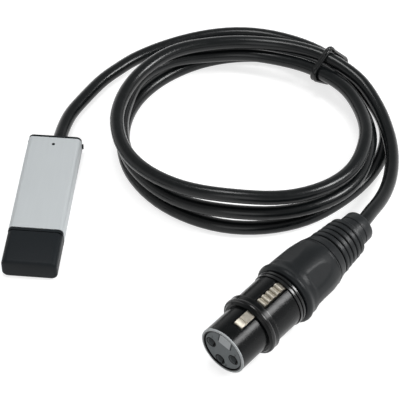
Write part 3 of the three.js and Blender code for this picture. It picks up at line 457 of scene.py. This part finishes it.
LOOKS = {
    "anodised_sleeve": finish_of(
        "anodised_aluminium", (190, 195, 197), (193, 198, 200), 0.4, 0.48, 0.54, 1400,
        stretch=(1, 0.05, 1), bump=0.000004, bump_grain=5000,
    ),
    "cap_plastic": finish_of(
        "moulded_black", (22, 26, 29), (26, 30, 33), 0.0, 0.4, 0.5, 2500,
        bump=0.00001, bump_grain=6000, specular=0.12,
    ),
    "plug_steel": finish_of(
        "tinned_sheet", (196, 199, 203), (208, 211, 214), 1.0, 0.2, 0.32, 700, stretch=(1, 0.1, 1)
    ),
    "grey_plastic": finish_of("grey_moulding", (146, 150, 152), (154, 158, 160), 0.0, 0.5, 0.6, 1800),
    "contact_gold": finish_of("gold_plate", (196, 158, 74), (210, 172, 88), 1.0, 0.22, 0.3, 900),
    "board": finish_of("solder_mask", (28, 84, 50), (36, 96, 58), 0.0, 0.4, 0.55, 1500),
    "chip": finish_of("chip_epoxy", (26, 27, 29), (33, 34, 36), 0.0, 0.5, 0.65, 2200),
    "capacitor": finish_of("capacitor_body", (178, 150, 92), (190, 162, 104), 0.0, 0.45, 0.6, 1500),
    # The indicator's resin is nearly black: painted shade of its pinhole.
    "led": finish_of("resin_painted_hole_shade", (7, 8, 8), (11, 12, 12), 0.0, 0.3, 0.4, 900, specular=0.06),
    "wire_red": finish_of("red_wire", (152, 30, 30), (168, 36, 36), 0.0, 0.35, 0.45, 900),
    "wire_white": finish_of("white_wire", (212, 212, 208), (224, 224, 220), 0.0, 0.35, 0.45, 900),
    "wire_copper": finish_of("copper_strands", (182, 118, 70), (196, 132, 84), 1.0, 0.3, 0.4, 2500),
    "cord_jacket": finish_of(
        "cord_jacket", (12, 15, 16), (16, 19, 20), 0.0, 0.22, 0.27, 500,
        bump=0.000006, bump_grain=1500, specular=0.3,
    ),
    "tie_rubber": finish_of(
        "tie_rubber", (12, 14, 15), (16, 18, 19), 0.0, 0.2, 0.26, 900, specular=0.4
    ),
    "shell_black": finish_of(
        "black_coated_shell", (5, 7, 8), (8, 10, 11), 0.0, 0.22, 0.28, 600,
        bump=0.000004, bump_grain=2500, specular=0.17,
    ),
    "insert_plastic": finish_of(
        "insert_moulding", (101, 106, 107), (110, 115, 117), 0.0, 0.5, 0.6, 2200, specular=0.2
    ),
    "latch_nickel": finish_of("nickel_plate", (168, 163, 151), (186, 180, 168), 1.0, 0.38, 0.48, 1600),
    "boot_plastic": finish_of(
        "moulded_boot", (17, 20, 22), (23, 26, 28), 0.0, 0.36, 0.44, 2500,
        bump=0.00001, bump_grain=5000, specular=0.2,
    ),
    "boot_rubber": finish_of(
        "moulded_relief", (20, 23, 25), (26, 29, 31), 0.0, 0.36, 0.46, 2500,
        bump=0.00001, bump_grain=5000, specular=0.28,
    ),
}
# A lighter copy of the insert moulding: painted light on the key's face and on the nose's lit rim.
INSERT_PAINTED_LIGHT = finish_of(
    "insert_moulding_painted_light", (164, 168, 169), (174, 178, 180), 0.0, 0.42, 0.5, 1800, specular=0.3
)
# Nearly black socket metal: painted shade of the deep socket holes.
SOCKET_METAL_PAINTED_SHADE = finish_of("socket_metal_painted_shade", (13, 14, 14), (20, 21, 21), 1.0, 0.24, 0.32, 1600)
# Nearly black linings round the socket holes: painted shade.
MOUTH_PAINTED_SHADE = finish_of("socket_mouth_painted_shade", (5, 6, 6), (9, 10, 10), 0.0, 0.4, 0.5, 1800, specular=0.06)
BEAD_BLACK = finish_of("polished_bead", (6, 7, 8), (9, 10, 11), 0.0, 0.15, 0.2, 900, specular=0.4)
NUMERAL_INK = finish_of(
    "moulded_numeral", (52, 55, 56), (58, 61, 62), 0.0, 0.5, 0.6, 2200, specular=0.2
)


def give(piece, slot, look=None):
    """Gives a piece its slot's finish, or another; only the scene's own pieces need the slot said."""
    piece.data.materials.clear()
    piece.data.materials.append(look or LOOKS[slot])
    return piece


# Smooth faces and rounded edges

SHARP_ANGLE = math.radians(32)
FLAT_ANGLE = math.radians(0.5)
WELD_DISTANCE = 0.000002
EDGE_SEGMENTS = 2


def smooth_group():
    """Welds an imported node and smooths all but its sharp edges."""
    group = bpy.data.node_groups.new("weld_and_smooth", "GeometryNodeTree")
    group.interface.new_socket("Geometry", in_out="INPUT", socket_type="NodeSocketGeometry")
    group.interface.new_socket("Geometry", in_out="OUTPUT", socket_type="NodeSocketGeometry")
    start = group.nodes.new("NodeGroupInput")
    end = group.nodes.new("NodeGroupOutput")
    bare = group.nodes.new("GeometryNodeRemoveAttribute")
    bare.inputs["Name"].default_value = "custom_normal"
    weld = group.nodes.new("GeometryNodeMergeByDistance")
    weld.inputs["Distance"].default_value = WELD_DISTANCE
    faces = group.nodes.new("GeometryNodeSetShadeSmooth")
    faces.domain = "FACE"
    edges = group.nodes.new("GeometryNodeSetShadeSmooth")
    edges.domain = "EDGE"
    angle = group.nodes.new("GeometryNodeInputMeshEdgeAngle")
    small = group.nodes.new("FunctionNodeCompare")
    small.data_type = "FLOAT"
    small.operation = "LESS_THAN"
    small.inputs["B"].default_value = SHARP_ANGLE
    group.links.new(start.outputs["Geometry"], bare.inputs["Geometry"])
    group.links.new(bare.outputs["Geometry"], weld.inputs["Geometry"])
    group.links.new(weld.outputs["Geometry"], faces.inputs["Geometry"])
    group.links.new(faces.outputs["Geometry"], edges.inputs["Geometry"])
    group.links.new(angle.outputs["Unsigned Angle"], small.inputs["A"])
    group.links.new(small.outputs["Result"], edges.inputs["Shade Smooth"])
    group.links.new(edges.outputs["Geometry"], end.inputs["Geometry"])
    return group


SMOOTH = smooth_group()


def soften(piece, width=0.0):
    """Smooth faces on a piece, and its sharp edges rounded by width millimetres."""
    piece.data.polygons.foreach_set("use_smooth", [True] * len(piece.data.polygons))
    weld = piece.modifiers.new("weld", "NODES")
    weld.node_group = SMOOTH
    if width:
        flat = piece.modifiers.new("flat_faces", "DECIMATE")
        flat.decimate_type = "DISSOLVE"
        flat.angle_limit = FLAT_ANGLE
        bevel = piece.modifiers.new("edges", "BEVEL")
        bevel.width = width * MM
        bevel.segments = EDGE_SEGMENTS
        bevel.limit_method = "ANGLE"
        bevel.angle_limit = SHARP_ANGLE
        bevel.harden_normals = True
        bevel.use_clamp_overlap = True


# The connector's turned pieces, on its own axis: (along from the nose, radius) in millimetres

TURN_SIDES = 120
NUT_FLATS = 5
NUT_FLAT_ANGLE = math.radians(35)
NUT_FLAT_DEPTH = 0.62
NUT_FLAT_FRONT = 32.9
NUT_FLAT_EASE = 1.5
NUT_CREST = 0.18
NUT_FRONT = [
    (28.2, 9.75), (28.3, 9.95), (28.6, 10.22), (29.0, 10.42), (29.5, 10.52),
    (30.0, 10.46), (30.5, 10.26), (31.0, 10.08),
]
NUT_GRIP = [
    (31.5, 10.0), (33.0, 9.96), (35.0, 9.9), (37.0, 9.82), (39.0, 9.74), (40.5, 9.66),
    (42.0, 9.52), (43.0, 9.38), (44.0, 9.22), (45.0, 9.03), (45.7, 8.86),
]
NUT_GRIP_STEP = 0.3
NUT_LEAST_RADIUS = 9.82
NUT_BACK = [
    (46.0, 8.72), (46.05, 8.42), (46.35, 8.38), (46.4, 8.6), (46.7, 8.56),
    (47.5, 8.3), (48.5, 8.06), (49.2, 7.92), (49.4, 7.78),
]
NUT_BORE = [(49.4, 5.8), (34.3, 5.8), (34.3, 8.8), (28.2, 8.8)]
NECK_RINGS = [
    (25.6, 8.75), (25.6, 9.15), (25.75, 9.3), (26.4, 9.3), (26.55, 9.15), (26.6, 8.9), (26.85, 8.9),
    (26.9, 9.25), (27.05, 9.38), (27.6, 9.38), (27.75, 9.25), (27.8, 8.9), (28.1, 8.9), (28.1, 8.75),
]
RELIEF_NECK = [(45.2, 2.6), (45.2, 5.5), (49.5, 5.5), (49.5, 6.4)]
RELIEF_GROOVES = [49.8, 51.9, 54.0, 56.2, 58.3, 60.4]
RELIEF_GROOVE_HALF = 0.27
RELIEF_GROOVE_RADIUS = 6.4
RELIEF_LAST_GROOVE_RADIUS = 5.2
RELIEF_RIBS = [7.78, 7.5, 7.28, 7.12, 6.85]
RELIEF_RIB_EDGE = 0.22
RELIEF_TIP = [
    (60.7, 5.42), (62.85, 5.38), (62.9, 5.18), (63.15, 5.18), (63.2, 5.36),
    (66.0, 5.25), (66.4, 5.05), (66.6, 4.7), (66.6, 2.6),
]
COLLAR_BEAD = [
    (12.0, 9.4), (12.05, 9.62), (12.25, 9.78), (12.6, 9.85),
    (12.95, 9.82), (13.2, 9.72), (13.35, 9.6), (13.35, 9.4),
]
COLLAR_RING = [(14.5, 9.4), (14.5, 9.64), (14.6, 9.72), (14.85, 9.72), (14.98, 9.6), (14.98, 9.4)]
# The nose rim takes the lighter insert moulding, a painted highlight on the lit edge.
NOSE_RIM = [
    (0.35, 7.32), (0.02, 7.32), (-0.1, 7.42), (-0.12, 7.6), (-0.06, 7.8),
    (0.1, 7.97), (0.3, 8.0), (0.4, 7.96), (0.4, 7.8), (0.35, 7.7),
]


def turned(profile, reshape=None):
    """A closed profile turned round the connector's axis.

    With reshape, a point's radius also depends on its angle from the latch.
    """
    vertices = []
    faces = []
    for along, radius in profile:
        for k in range(TURN_SIDES):
            angle = 2 * math.pi * k / TURN_SIDES
            r = reshape(along, radius, angle) if reshape else radius
            vertices.append(in_connector(r * math.sin(angle), along, r * math.cos(angle)))
    count = len(profile)
    for i in range(count):
        faces += band(i * TURN_SIDES, (i + 1) % count * TURN_SIDES, TURN_SIDES)
    return vertices, faces


def between_points(line, step):
    """A profile line with more points, about every step along it."""
    points = [line[0]]
    for (a0, r0), (a1, r1) in zip(line, line[1:]):
        count = max(1, round((a1 - a0) / step))
        for k in range(1, count + 1):
            points.append((a0 + (a1 - a0) * k / count, r0 + (r1 - r0) * k / count))
    return points


def nut_radius(along, radius, angle):
    """Shallow flats with a low crest between them; each flat runs out in an arch at its front."""
    if not NUT_GRIP[0][0] < along < NUT_GRIP[-1][0] or radius < NUT_BACK[-1][1]:
        return radius
    step = 2 * math.pi / NUT_FLATS
    off = abs((angle - NUT_FLAT_ANGLE + step / 2) % step - step / 2)
    share = max(0.0, min(1.0, (along - NUT_FLAT_FRONT) / NUT_FLAT_EASE))
    ease = share * (2 - share)
    crest = radius - NUT_CREST * ease * (1 - (off / (step / 2)) ** 2)
    flat = (max(radius, NUT_LEAST_RADIUS) - NUT_FLAT_DEPTH * ease) / math.cos(off)
    return min(crest, flat)


def relief_profile():
    """The relief's outline: its neck, the ribs with a groove at each side, and its tip."""
    profile = list(RELIEF_NECK)
    for i, radius in enumerate(RELIEF_RIBS):
        start = RELIEF_GROOVES[i] + RELIEF_GROOVE_HALF
        end = RELIEF_GROOVES[i + 1] - RELIEF_GROOVE_HALF
        last = i == len(RELIEF_RIBS) - 1
        profile += [
            (start, RELIEF_GROOVE_RADIUS),
            (start, radius - RELIEF_RIB_EDGE),
            (start + RELIEF_RIB_EDGE, radius),
            (end - RELIEF_RIB_EDGE, radius),
            (end, radius - RELIEF_RIB_EDGE),
            (end, RELIEF_LAST_GROOVE_RADIUS if last else RELIEF_GROOVE_RADIUS),
        ]
    profile.append((RELIEF_TIP[0][0], RELIEF_LAST_GROOVE_RADIUS))
    return profile + RELIEF_TIP


def make_turned(name, slot, profile, replaced=None, reshape=None, look=None):
    """A turned piece that rides on the connector, in place of a node where one is named."""
    vertices, faces = turned(profile, reshape)
    piece = mesh_piece(name, vertices, faces)
    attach(piece, BODY)
    if replaced:
        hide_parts(replaced)
    give(piece, slot, look)
    soften(piece)
    return piece


# The indicator's lens over its hole in the sleeve, nearly black as painted shade of the hole: (radius,
# height) in millimetres

LENS = [(0.56, 0.0), (0.53, 0.03), (0.42, 0.055), (0.22, 0.07), (0.0, 0.075)]
LENS_SIDES = 24
LENS_SUNK = 0.02


def make_lens():
    """A low dome over the hole, standing above the light."""
    low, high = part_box("status_led")
    x = (low[0] + high[0]) / 2 / MM
    y = (low[1] + high[1]) / 2 / MM
    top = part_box("housing_sleeve")[1][2] / MM - LENS_SUNK
    vertices = []
    faces = []
    for radius, up in LENS[:-1]:
        for k in range(LENS_SIDES):
            a = 2 * math.pi * k / LENS_SIDES
            vertices.append((x + radius * math.cos(a), y + radius * math.sin(a), top + up))
    vertices.append((x, y, top + LENS[-1][1]))
    for i in range(len(LENS) - 2):
        faces += band(i * LENS_SIDES, (i + 1) * LENS_SIDES, LENS_SIDES)
    rim = (len(LENS) - 2) * LENS_SIDES
    for k in range(LENS_SIDES):
        faces.append((rim + k, rim + (k + 1) % LENS_SIDES, len(vertices) - 1))
    faces.append(tuple(range(LENS_SIDES - 1, -1, -1)))
    lens = mesh_piece("indicator_lens", vertices, faces)
    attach(lens, BODY)
    return give(lens, "led")


make_lens()

# The latch lever and the key, on the same axis

LATCH_HALF_WIDTH = 1.5
LATCH_PIVOT = (27.4, 7.2)
LATCH_EYE = 1.1
LATCH_EYE_ANGLES = range(-90, 91, 30)
LATCH_UNDER = [(5.3, 7.1), (26.6, 7.1)]
LATCH_BEAM_TOP = 8.1
LATCH_THUMB_LOW = 8.5
LATCH_THUMB_BACK = 25.15
LATCH_RIB_START = 15.35
LATCH_RIB_PITCH = 1.93
LATCH_RIB_COUNT = 5
LATCH_RIB_SHARES = [
    (0.06, 0.0), (0.12, 0.62), (0.3, 0.95), (0.48, 1.0), (0.66, 0.86), (0.84, 0.5), (0.96, 0.0),
]
LATCH_RIB_RISE = 0.95
LATCH_HOOK = [
    (15.2, 8.1), (11.2, 8.1), (11.1, 8.2), (7.95, 8.32), (7.8, 8.0),
    (7.55, 8.0), (7.4, 8.36), (5.65, 8.3), (5.35, 8.1), (5.3, 7.9),
]
LATCH_EDGE = 0.1
KEY_CORNERS = [
    (-2.15, 2.75), (2.1, 2.75), (2.1, 6.65), (1.4, 6.86), (0.0, 7.05), (-1.4, 6.86), (-2.15, 6.65),
]
KEY_FRONT = 0.12
KEY_BACK = 4.4
KEY_EDGE = 0.1


def latch_outline():
    """The lever from the side: underside, round eye, ribbed thumb piece and hook."""
    points = list(LATCH_UNDER)
    along, up = LATCH_PIVOT
    for degrees in LATCH_EYE_ANGLES:
        a = math.radians(degrees)
        points.append((along + LATCH_EYE * math.cos(a), up + LATCH_EYE * math.sin(a)))
    points += [(LATCH_THUMB_BACK, LATCH_BEAM_TOP), (LATCH_THUMB_BACK, LATCH_THUMB_LOW)]
    for rib in range(LATCH_RIB_COUNT - 1, -1, -1):
        start = LATCH_RIB_START + rib * LATCH_RIB_PITCH
        for share, rise in reversed(LATCH_RIB_SHARES):
            points.append((start + share * LATCH_RIB_PITCH, LATCH_THUMB_LOW + rise * LATCH_RIB_RISE))
    return points + LATCH_HOOK


def prism(name, first, second):
    """A solid between two matching outlines in the connector's frame."""
    count = len(first)
    faces = [tuple(range(count)), tuple(range(2 * count - 1, count - 1, -1))]
    for i in range(count):
        j = (i + 1) % count
        faces.append((i, i + count, j + count, j))
    piece = mesh_piece(name, [in_connector(*p) for p in first + second], faces)
    solid = bmesh.new()
    solid.from_mesh(piece.data)
    bmesh.ops.recalc_face_normals(solid, faces=solid.faces)
    solid.to_mesh(piece.data)
    solid.free()
    return piece


def make_latch():
    """The lever, which rides on the latch's own body."""
    outline = latch_outline()
    left = [(-LATCH_HALF_WIDTH, along, up) for along, up in outline]
    right = [(LATCH_HALF_WIDTH, along, up) for along, up in outline]
    latch = prism("latch", left, right)
    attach(latch, "latch")
    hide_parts("latch_lever")
    give(latch, "latch_nickel")
    soften(latch, LATCH_EDGE)
    return latch


def make_key():
    """The block under the nose's rim, with its rounded top, pale with painted light on its face."""
    front = [(x, KEY_FRONT, z) for x, z in KEY_CORNERS]
    back = [(x, KEY_BACK, z) for x, z in KEY_CORNERS]
    key = prism("key", front, back)
    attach(key, BODY)
    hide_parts("key_block")
    give(key, "insert_plastic", INSERT_PAINTED_LIGHT)
    soften(key, KEY_EDGE)
    return key


NUMERAL_SIZE = 1.5
NUMERAL_THICK = 0.03
NUMERAL_FACE = 0.27
NUMERALS = [("1", -4.6, 2.3), ("2", 4.3, 2.0), ("3", 2.2, -5.6)]


def make_numerals():
    """Small generic numerals beside the sockets, standing on the insert's face."""
    turn = Matrix((CONNECTOR_X, CONNECTOR_Z, -CONNECTOR_HEADING)).transposed().to_4x4()
    joined = bmesh.new()
    for text, x, z in NUMERALS:
        written = bpy.data.curves.new("numeral", "FONT")
        written.body = text
        written.size = NUMERAL_SIZE * MM
        written.extrude = NUMERAL_THICK * MM
        written.align_x = "CENTER"
        written.align_y = "CENTER"
        holder = bpy.data.objects.new("numeral_outline", written)
        one = bpy.data.meshes.new_from_object(holder)
        bpy.data.objects.remove(holder)
        bpy.data.curves.remove(written)
        one.transform(Matrix.Translation(in_connector(x, NUMERAL_FACE, z) * MM) @ turn)
        joined.from_mesh(one)
        bpy.data.meshes.remove(one)
    mesh = bpy.data.meshes.new("numerals")
    joined.to_mesh(mesh)
    joined.free()
    numerals = new_object("numerals", mesh)
    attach(numerals, BODY)
    return give(numerals, "insert_plastic", NUMERAL_INK)


MOUTHS = [(-4.55, -0.45), (-0.2, -4.95), (4.1, -0.45)]
MOUTH_RING = [
    (0.34, 1.8), (0.24, 1.78), (0.19, 1.66), (0.19, 1.5),
    (0.3, 1.4), (1.4, 1.3), (1.4, 1.42), (0.34, 1.46),
]
MOUTH_SIDES = 40


def make_mouths():
    """Lips lining the sockets, in one piece, nearly black as painted shade of the holes."""
    vertices = []
    faces = []
    count = len(MOUTH_RING)
    for x, z in MOUTHS:
        first = len(vertices)
        for along, radius in MOUTH_RING:
            for k in range(MOUTH_SIDES):
                a = 2 * math.pi * k / MOUTH_SIDES
                vertices.append(in_connector(x + radius * math.cos(a), along, z + radius * math.sin(a)))
        for i in range(count):
            there = first + (i + 1) % count * MOUTH_SIDES
            faces += band(first + i * MOUTH_SIDES, there, MOUTH_SIDES)
    mouths = mesh_piece("socket_mouths", vertices, faces)
    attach(mouths, BODY)
    give(mouths, "insert_plastic", MOUTH_PAINTED_SHADE)
    soften(mouths)
    return mouths


nut_profile = NUT_FRONT + between_points(NUT_GRIP, NUT_GRIP_STEP) + NUT_BACK + NUT_BORE
ON_CONNECTOR = [
    make_turned("nut", "boot_plastic", nut_profile, "back_nut", nut_radius),
    make_turned("neck_rings", "boot_rubber", NECK_RINGS, "seal_ring", look=LOOKS["tie_rubber"]),
    make_turned("relief", "boot_rubber", relief_profile(), "bend_relief"),
    make_turned("collar_bead", "shell_black", COLLAR_BEAD, look=BEAD_BLACK),
    make_turned("collar_ring", "shell_black", COLLAR_RING, look=BEAD_BLACK),
    make_turned("nose_rim", "insert_plastic", NOSE_RIM, look=INSERT_PAINTED_LIGHT),
    make_key(),
    make_latch(),
    make_numerals(),
    make_mouths(),
]

# The cord, with its tie

CORD_SIDES = 20
TIE_AT = 47.4
TIE_WIRE = 1.3
TIE_SIDES = 14
TIE_DOME = 4
TIE_STEP = 0.5
TIE_TURNS = 2
TIE_POINTS = 220
TIE_OVERLAP = 3
TIE_START_ANGLE = -90
TIE_SPACING = 1.34
TIE_SLACK = 0.03
TIE_CROSSING = 1.3
TIE_CROSSING_TURN = 0.5
TIE_CROSSING_WIDTH = 0.1
TIE_BULGE = 0.12
TIE_BULGE_ANGLE = 48
TIE_BULGE_WIDTH = 34


def make_cord():
    vertices, faces = tube(cord_line, CORD_RADIUS, CORD_SIDES)
    cord = mesh_piece("cord", vertices, faces)
    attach(cord, BODY)
    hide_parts("cord_stick_lead", "cord_coil", "cord_connector_lead")
    return give(cord, "cord_jacket")


def strands_at(angle):
    """Where the cord crosses a half plane through the coil's middle.

    Gives each strand's distance outward from a foot point and its height, with the foot point and
    the directions outward and sideways.
    """
    out = coil_outward(angle)
    centre = Vector((*COIL_CENTRE, 0.0))
    foot = coil_point(angle, 0, 0)
    side = Vector((out.y, -out.x, 0.0))
    found = []
    for a, b in zip(cord_line, cord_line[1:]):
        if (a - centre).dot(out) < 0:
            continue
        before = (a - foot).dot(side)
        after = (b - foot).dot(side)
        if (before < 0) != (after < 0):
            p = a + (b - a) * (before / (before - after))
            found.append(((p - foot).dot(out), p.z))
    return found, foot, out, side


def make_tie():
    """A round band wound twice about the strands; it crosses itself on top and bulges outward."""
    strands, foot, out, side = strands_at(TIE_AT)
    points = []
    for i in range(TIE_POINTS):
        turn = TIE_TURNS * i / TIE_POINTS
        degrees = TIE_START_ANGLE + 360 * turn
        a = math.radians(degrees)
        direction = (math.cos(a), math.sin(a))
        far = max(strands, key=lambda s: s[0] * direction[0] + s[1] * direction[1])
        reach = CORD_RADIUS + TIE_WIRE / 2 + TIE_SLACK
        reach += TIE_CROSSING * math.exp(-(((turn - TIE_CROSSING_TURN) / TIE_CROSSING_WIDTH) ** 2))
        off = (degrees - TIE_BULGE_ANGLE + 180) % 360 - 180
        reach += TIE_BULGE * math.exp(-((off / TIE_BULGE_WIDTH) ** 2))
        across = TIE_SPACING / 2 * math.cos(math.pi * turn)
        outward = far[0] + reach * direction[0]
        point = foot + out * outward + side * across
        points.append(Vector((point.x, point.y, far[1] + reach * direction[1])))
    points = points[-TIE_OVERLAP:] + points + points[:TIE_OVERLAP]
    line = through(points, TIE_STEP)
    vertices, faces = tube(line, TIE_WIRE / 2, TIE_SIDES, TIE_DOME)
    tie = mesh_piece("tie", vertices, faces)
    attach(tie, BODY)
    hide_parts("twist_tie")
    return give(tie, "tie_rubber")


cord = make_cord()
tie = make_tie()

# The CAD nodes that show: rounded edges, smooth faces and their finishes

EDGE_WIDTHS = {
    "housing_sleeve": 0.18,
    "rear_end_plug": 0.12,
    "front_bezel": 0.12,
    "usb_cap": 0.2,
    "usb_plug_shell": 0.08,
    "connector_shell": 0.12,
    "socket_insert": 0.15,
}

for name, node in nodes.items():
    if node.hide_render:
        continue
    slots = [s["material_slot"] for s in frame["record"]["subparts"] if s["node"] == name]
    # The socket contacts take the nearly black metal, painted shade of their holes.
    give(node, slots[0], SOCKET_METAL_PAINTED_SHADE if name.startswith("socket_contact") else None)
    soften(node, EDGE_WIDTHS.get(name, 0.0))

# Floor, light and background

FLOOR_GLOW = 0.72
FLOOR_COLOUR = (0.5, 0.5, 0.5, 1.0)
FLOOR_HALF = 2.0
FLOOR_CORNERS = [(-1, -1), (1, -1), (1, 1), (-1, 1)]
FLOOR_AT = (0.05, 0.02, -0.0001)
AMBIENT = 0.35
CEILING_FROM = 0.2
CEILING_TO = 0.55
CEILING_SHARE = 0.0
LAMPS = [
    ("key_light", (-0.05, 0.1, 0.85), (0.05, 0.02, 0.0), 0.28, 2.6),
    ("side_light", (0.68, 0.06, 0.55), (0.05, 0.0, 0.0), 0.24, 4.4),
    ("front_light", (0.0, -0.8, 0.5), (0.05, -0.02, 0.0), 0.5, 1.2),
]


def maths(tree, operation, first, second):
    """A maths node on an output and another output or a number."""
    node = tree.nodes.new("ShaderNodeMath")
    node.operation = operation
    tree.links.new(first, node.inputs[0])
    if isinstance(second, float):
        node.inputs[1].default_value = second
    else:
        tree.links.new(second, node.inputs[1])
    return node.outputs[0]


def backdrop(name):
    """Diffuse floor that the camera, and gloss on the object, see a little lighter."""
    material = bpy.data.materials.new(name)
    material.use_nodes = True
    tree = material.node_tree
    tree.nodes.clear()
    out = tree.nodes.new("ShaderNodeOutputMaterial")
    diffuse = tree.nodes.new("ShaderNodeBsdfDiffuse")
    diffuse.inputs["Color"].default_value = FLOOR_COLOUR
    glow = tree.nodes.new("ShaderNodeEmission")
    glow.inputs["Color"].default_value = WHITE
    ray = tree.nodes.new("ShaderNodeLightPath").outputs
    seen = maths(tree, "MAXIMUM", ray["Is Camera Ray"], ray["Is Glossy Ray"])
    seen = maths(tree, "MAXIMUM", seen, ray["Is Transmission Ray"])
    tree.links.new(maths(tree, "MULTIPLY", seen, FLOOR_GLOW), glow.inputs["Strength"])
    both = tree.nodes.new("ShaderNodeAddShader")
    tree.links.new(diffuse.outputs[0], both.inputs[0])
    tree.links.new(glow.outputs[0], both.inputs[1])
    tree.links.new(both.outputs[0], out.inputs["Surface"])
    return material


def make_floor():
    mesh = bpy.data.meshes.new("floor")
    corners = [(x * FLOOR_HALF, y * FLOOR_HALF, 0) for x, y in FLOOR_CORNERS]
    mesh.from_pydata(corners, [], [(0, 1, 2, 3)])
    floor = new_object("floor", mesh)
    floor.location = FLOOR_AT
    mesh.materials.append(backdrop("studio_floor"))


def light_of(tree, strength):
    background = tree.nodes.new("ShaderNodeBackground")
    background.inputs["Color"].default_value = WHITE
    background.inputs["Strength"].default_value = strength
    return background.outputs[0]


def make_world():
    """Soft light all round, white to the camera; gloss sees the white darken towards the ceiling."""
    world = bpy.data.worlds.new("studio")
    bpy.context.scene.world = world
    world.use_nodes = True
    tree = world.node_tree
    tree.nodes.clear()
    direction = tree.nodes.new("ShaderNodeSeparateXYZ")
    place = tree.nodes.new("ShaderNodeTexCoord").outputs["Generated"]
    tree.links.new(place, direction.inputs["Vector"])
    ceiling = tree.nodes.new("ShaderNodeMapRange")
    ceiling.inputs["From Min"].default_value = CEILING_FROM
    ceiling.inputs["From Max"].default_value = CEILING_TO
    ceiling.inputs["To Min"].default_value = 1.0
    ceiling.inputs["To Max"].default_value = CEILING_SHARE
    tree.links.new(direction.outputs["Z"], ceiling.inputs["Value"])
    ray = tree.nodes.new("ShaderNodeLightPath").outputs
    seen = maths(tree, "MULTIPLY", ceiling.outputs["Result"], ray["Is Glossy Ray"])
    seen = maths(tree, "MAXIMUM", seen, ray["Is Camera Ray"])
    seen = maths(tree, "MAXIMUM", seen, ray["Is Transmission Ray"])
    mix = tree.nodes.new("ShaderNodeMixShader")
    tree.links.new(seen, mix.inputs["Fac"])
    tree.links.new(light_of(tree, AMBIENT), mix.inputs[1])
    tree.links.new(light_of(tree, 1.0), mix.inputs[2])
    out = tree.nodes.new("ShaderNodeOutputWorld")
    tree.links.new(mix.outputs[0], out.inputs["Surface"])


def make_lamp(name, at, target, size, power):
    data = bpy.data.lights.new(name, "AREA")
    data.shape = "SQUARE"
    data.size = size
    data.energy = power
    aim(new_object(name, data), at, target)


make_floor()
make_world()
for values in LAMPS:
    make_lamp(*values)

bpy.context.scene.view_settings.view_transform = "Standard"
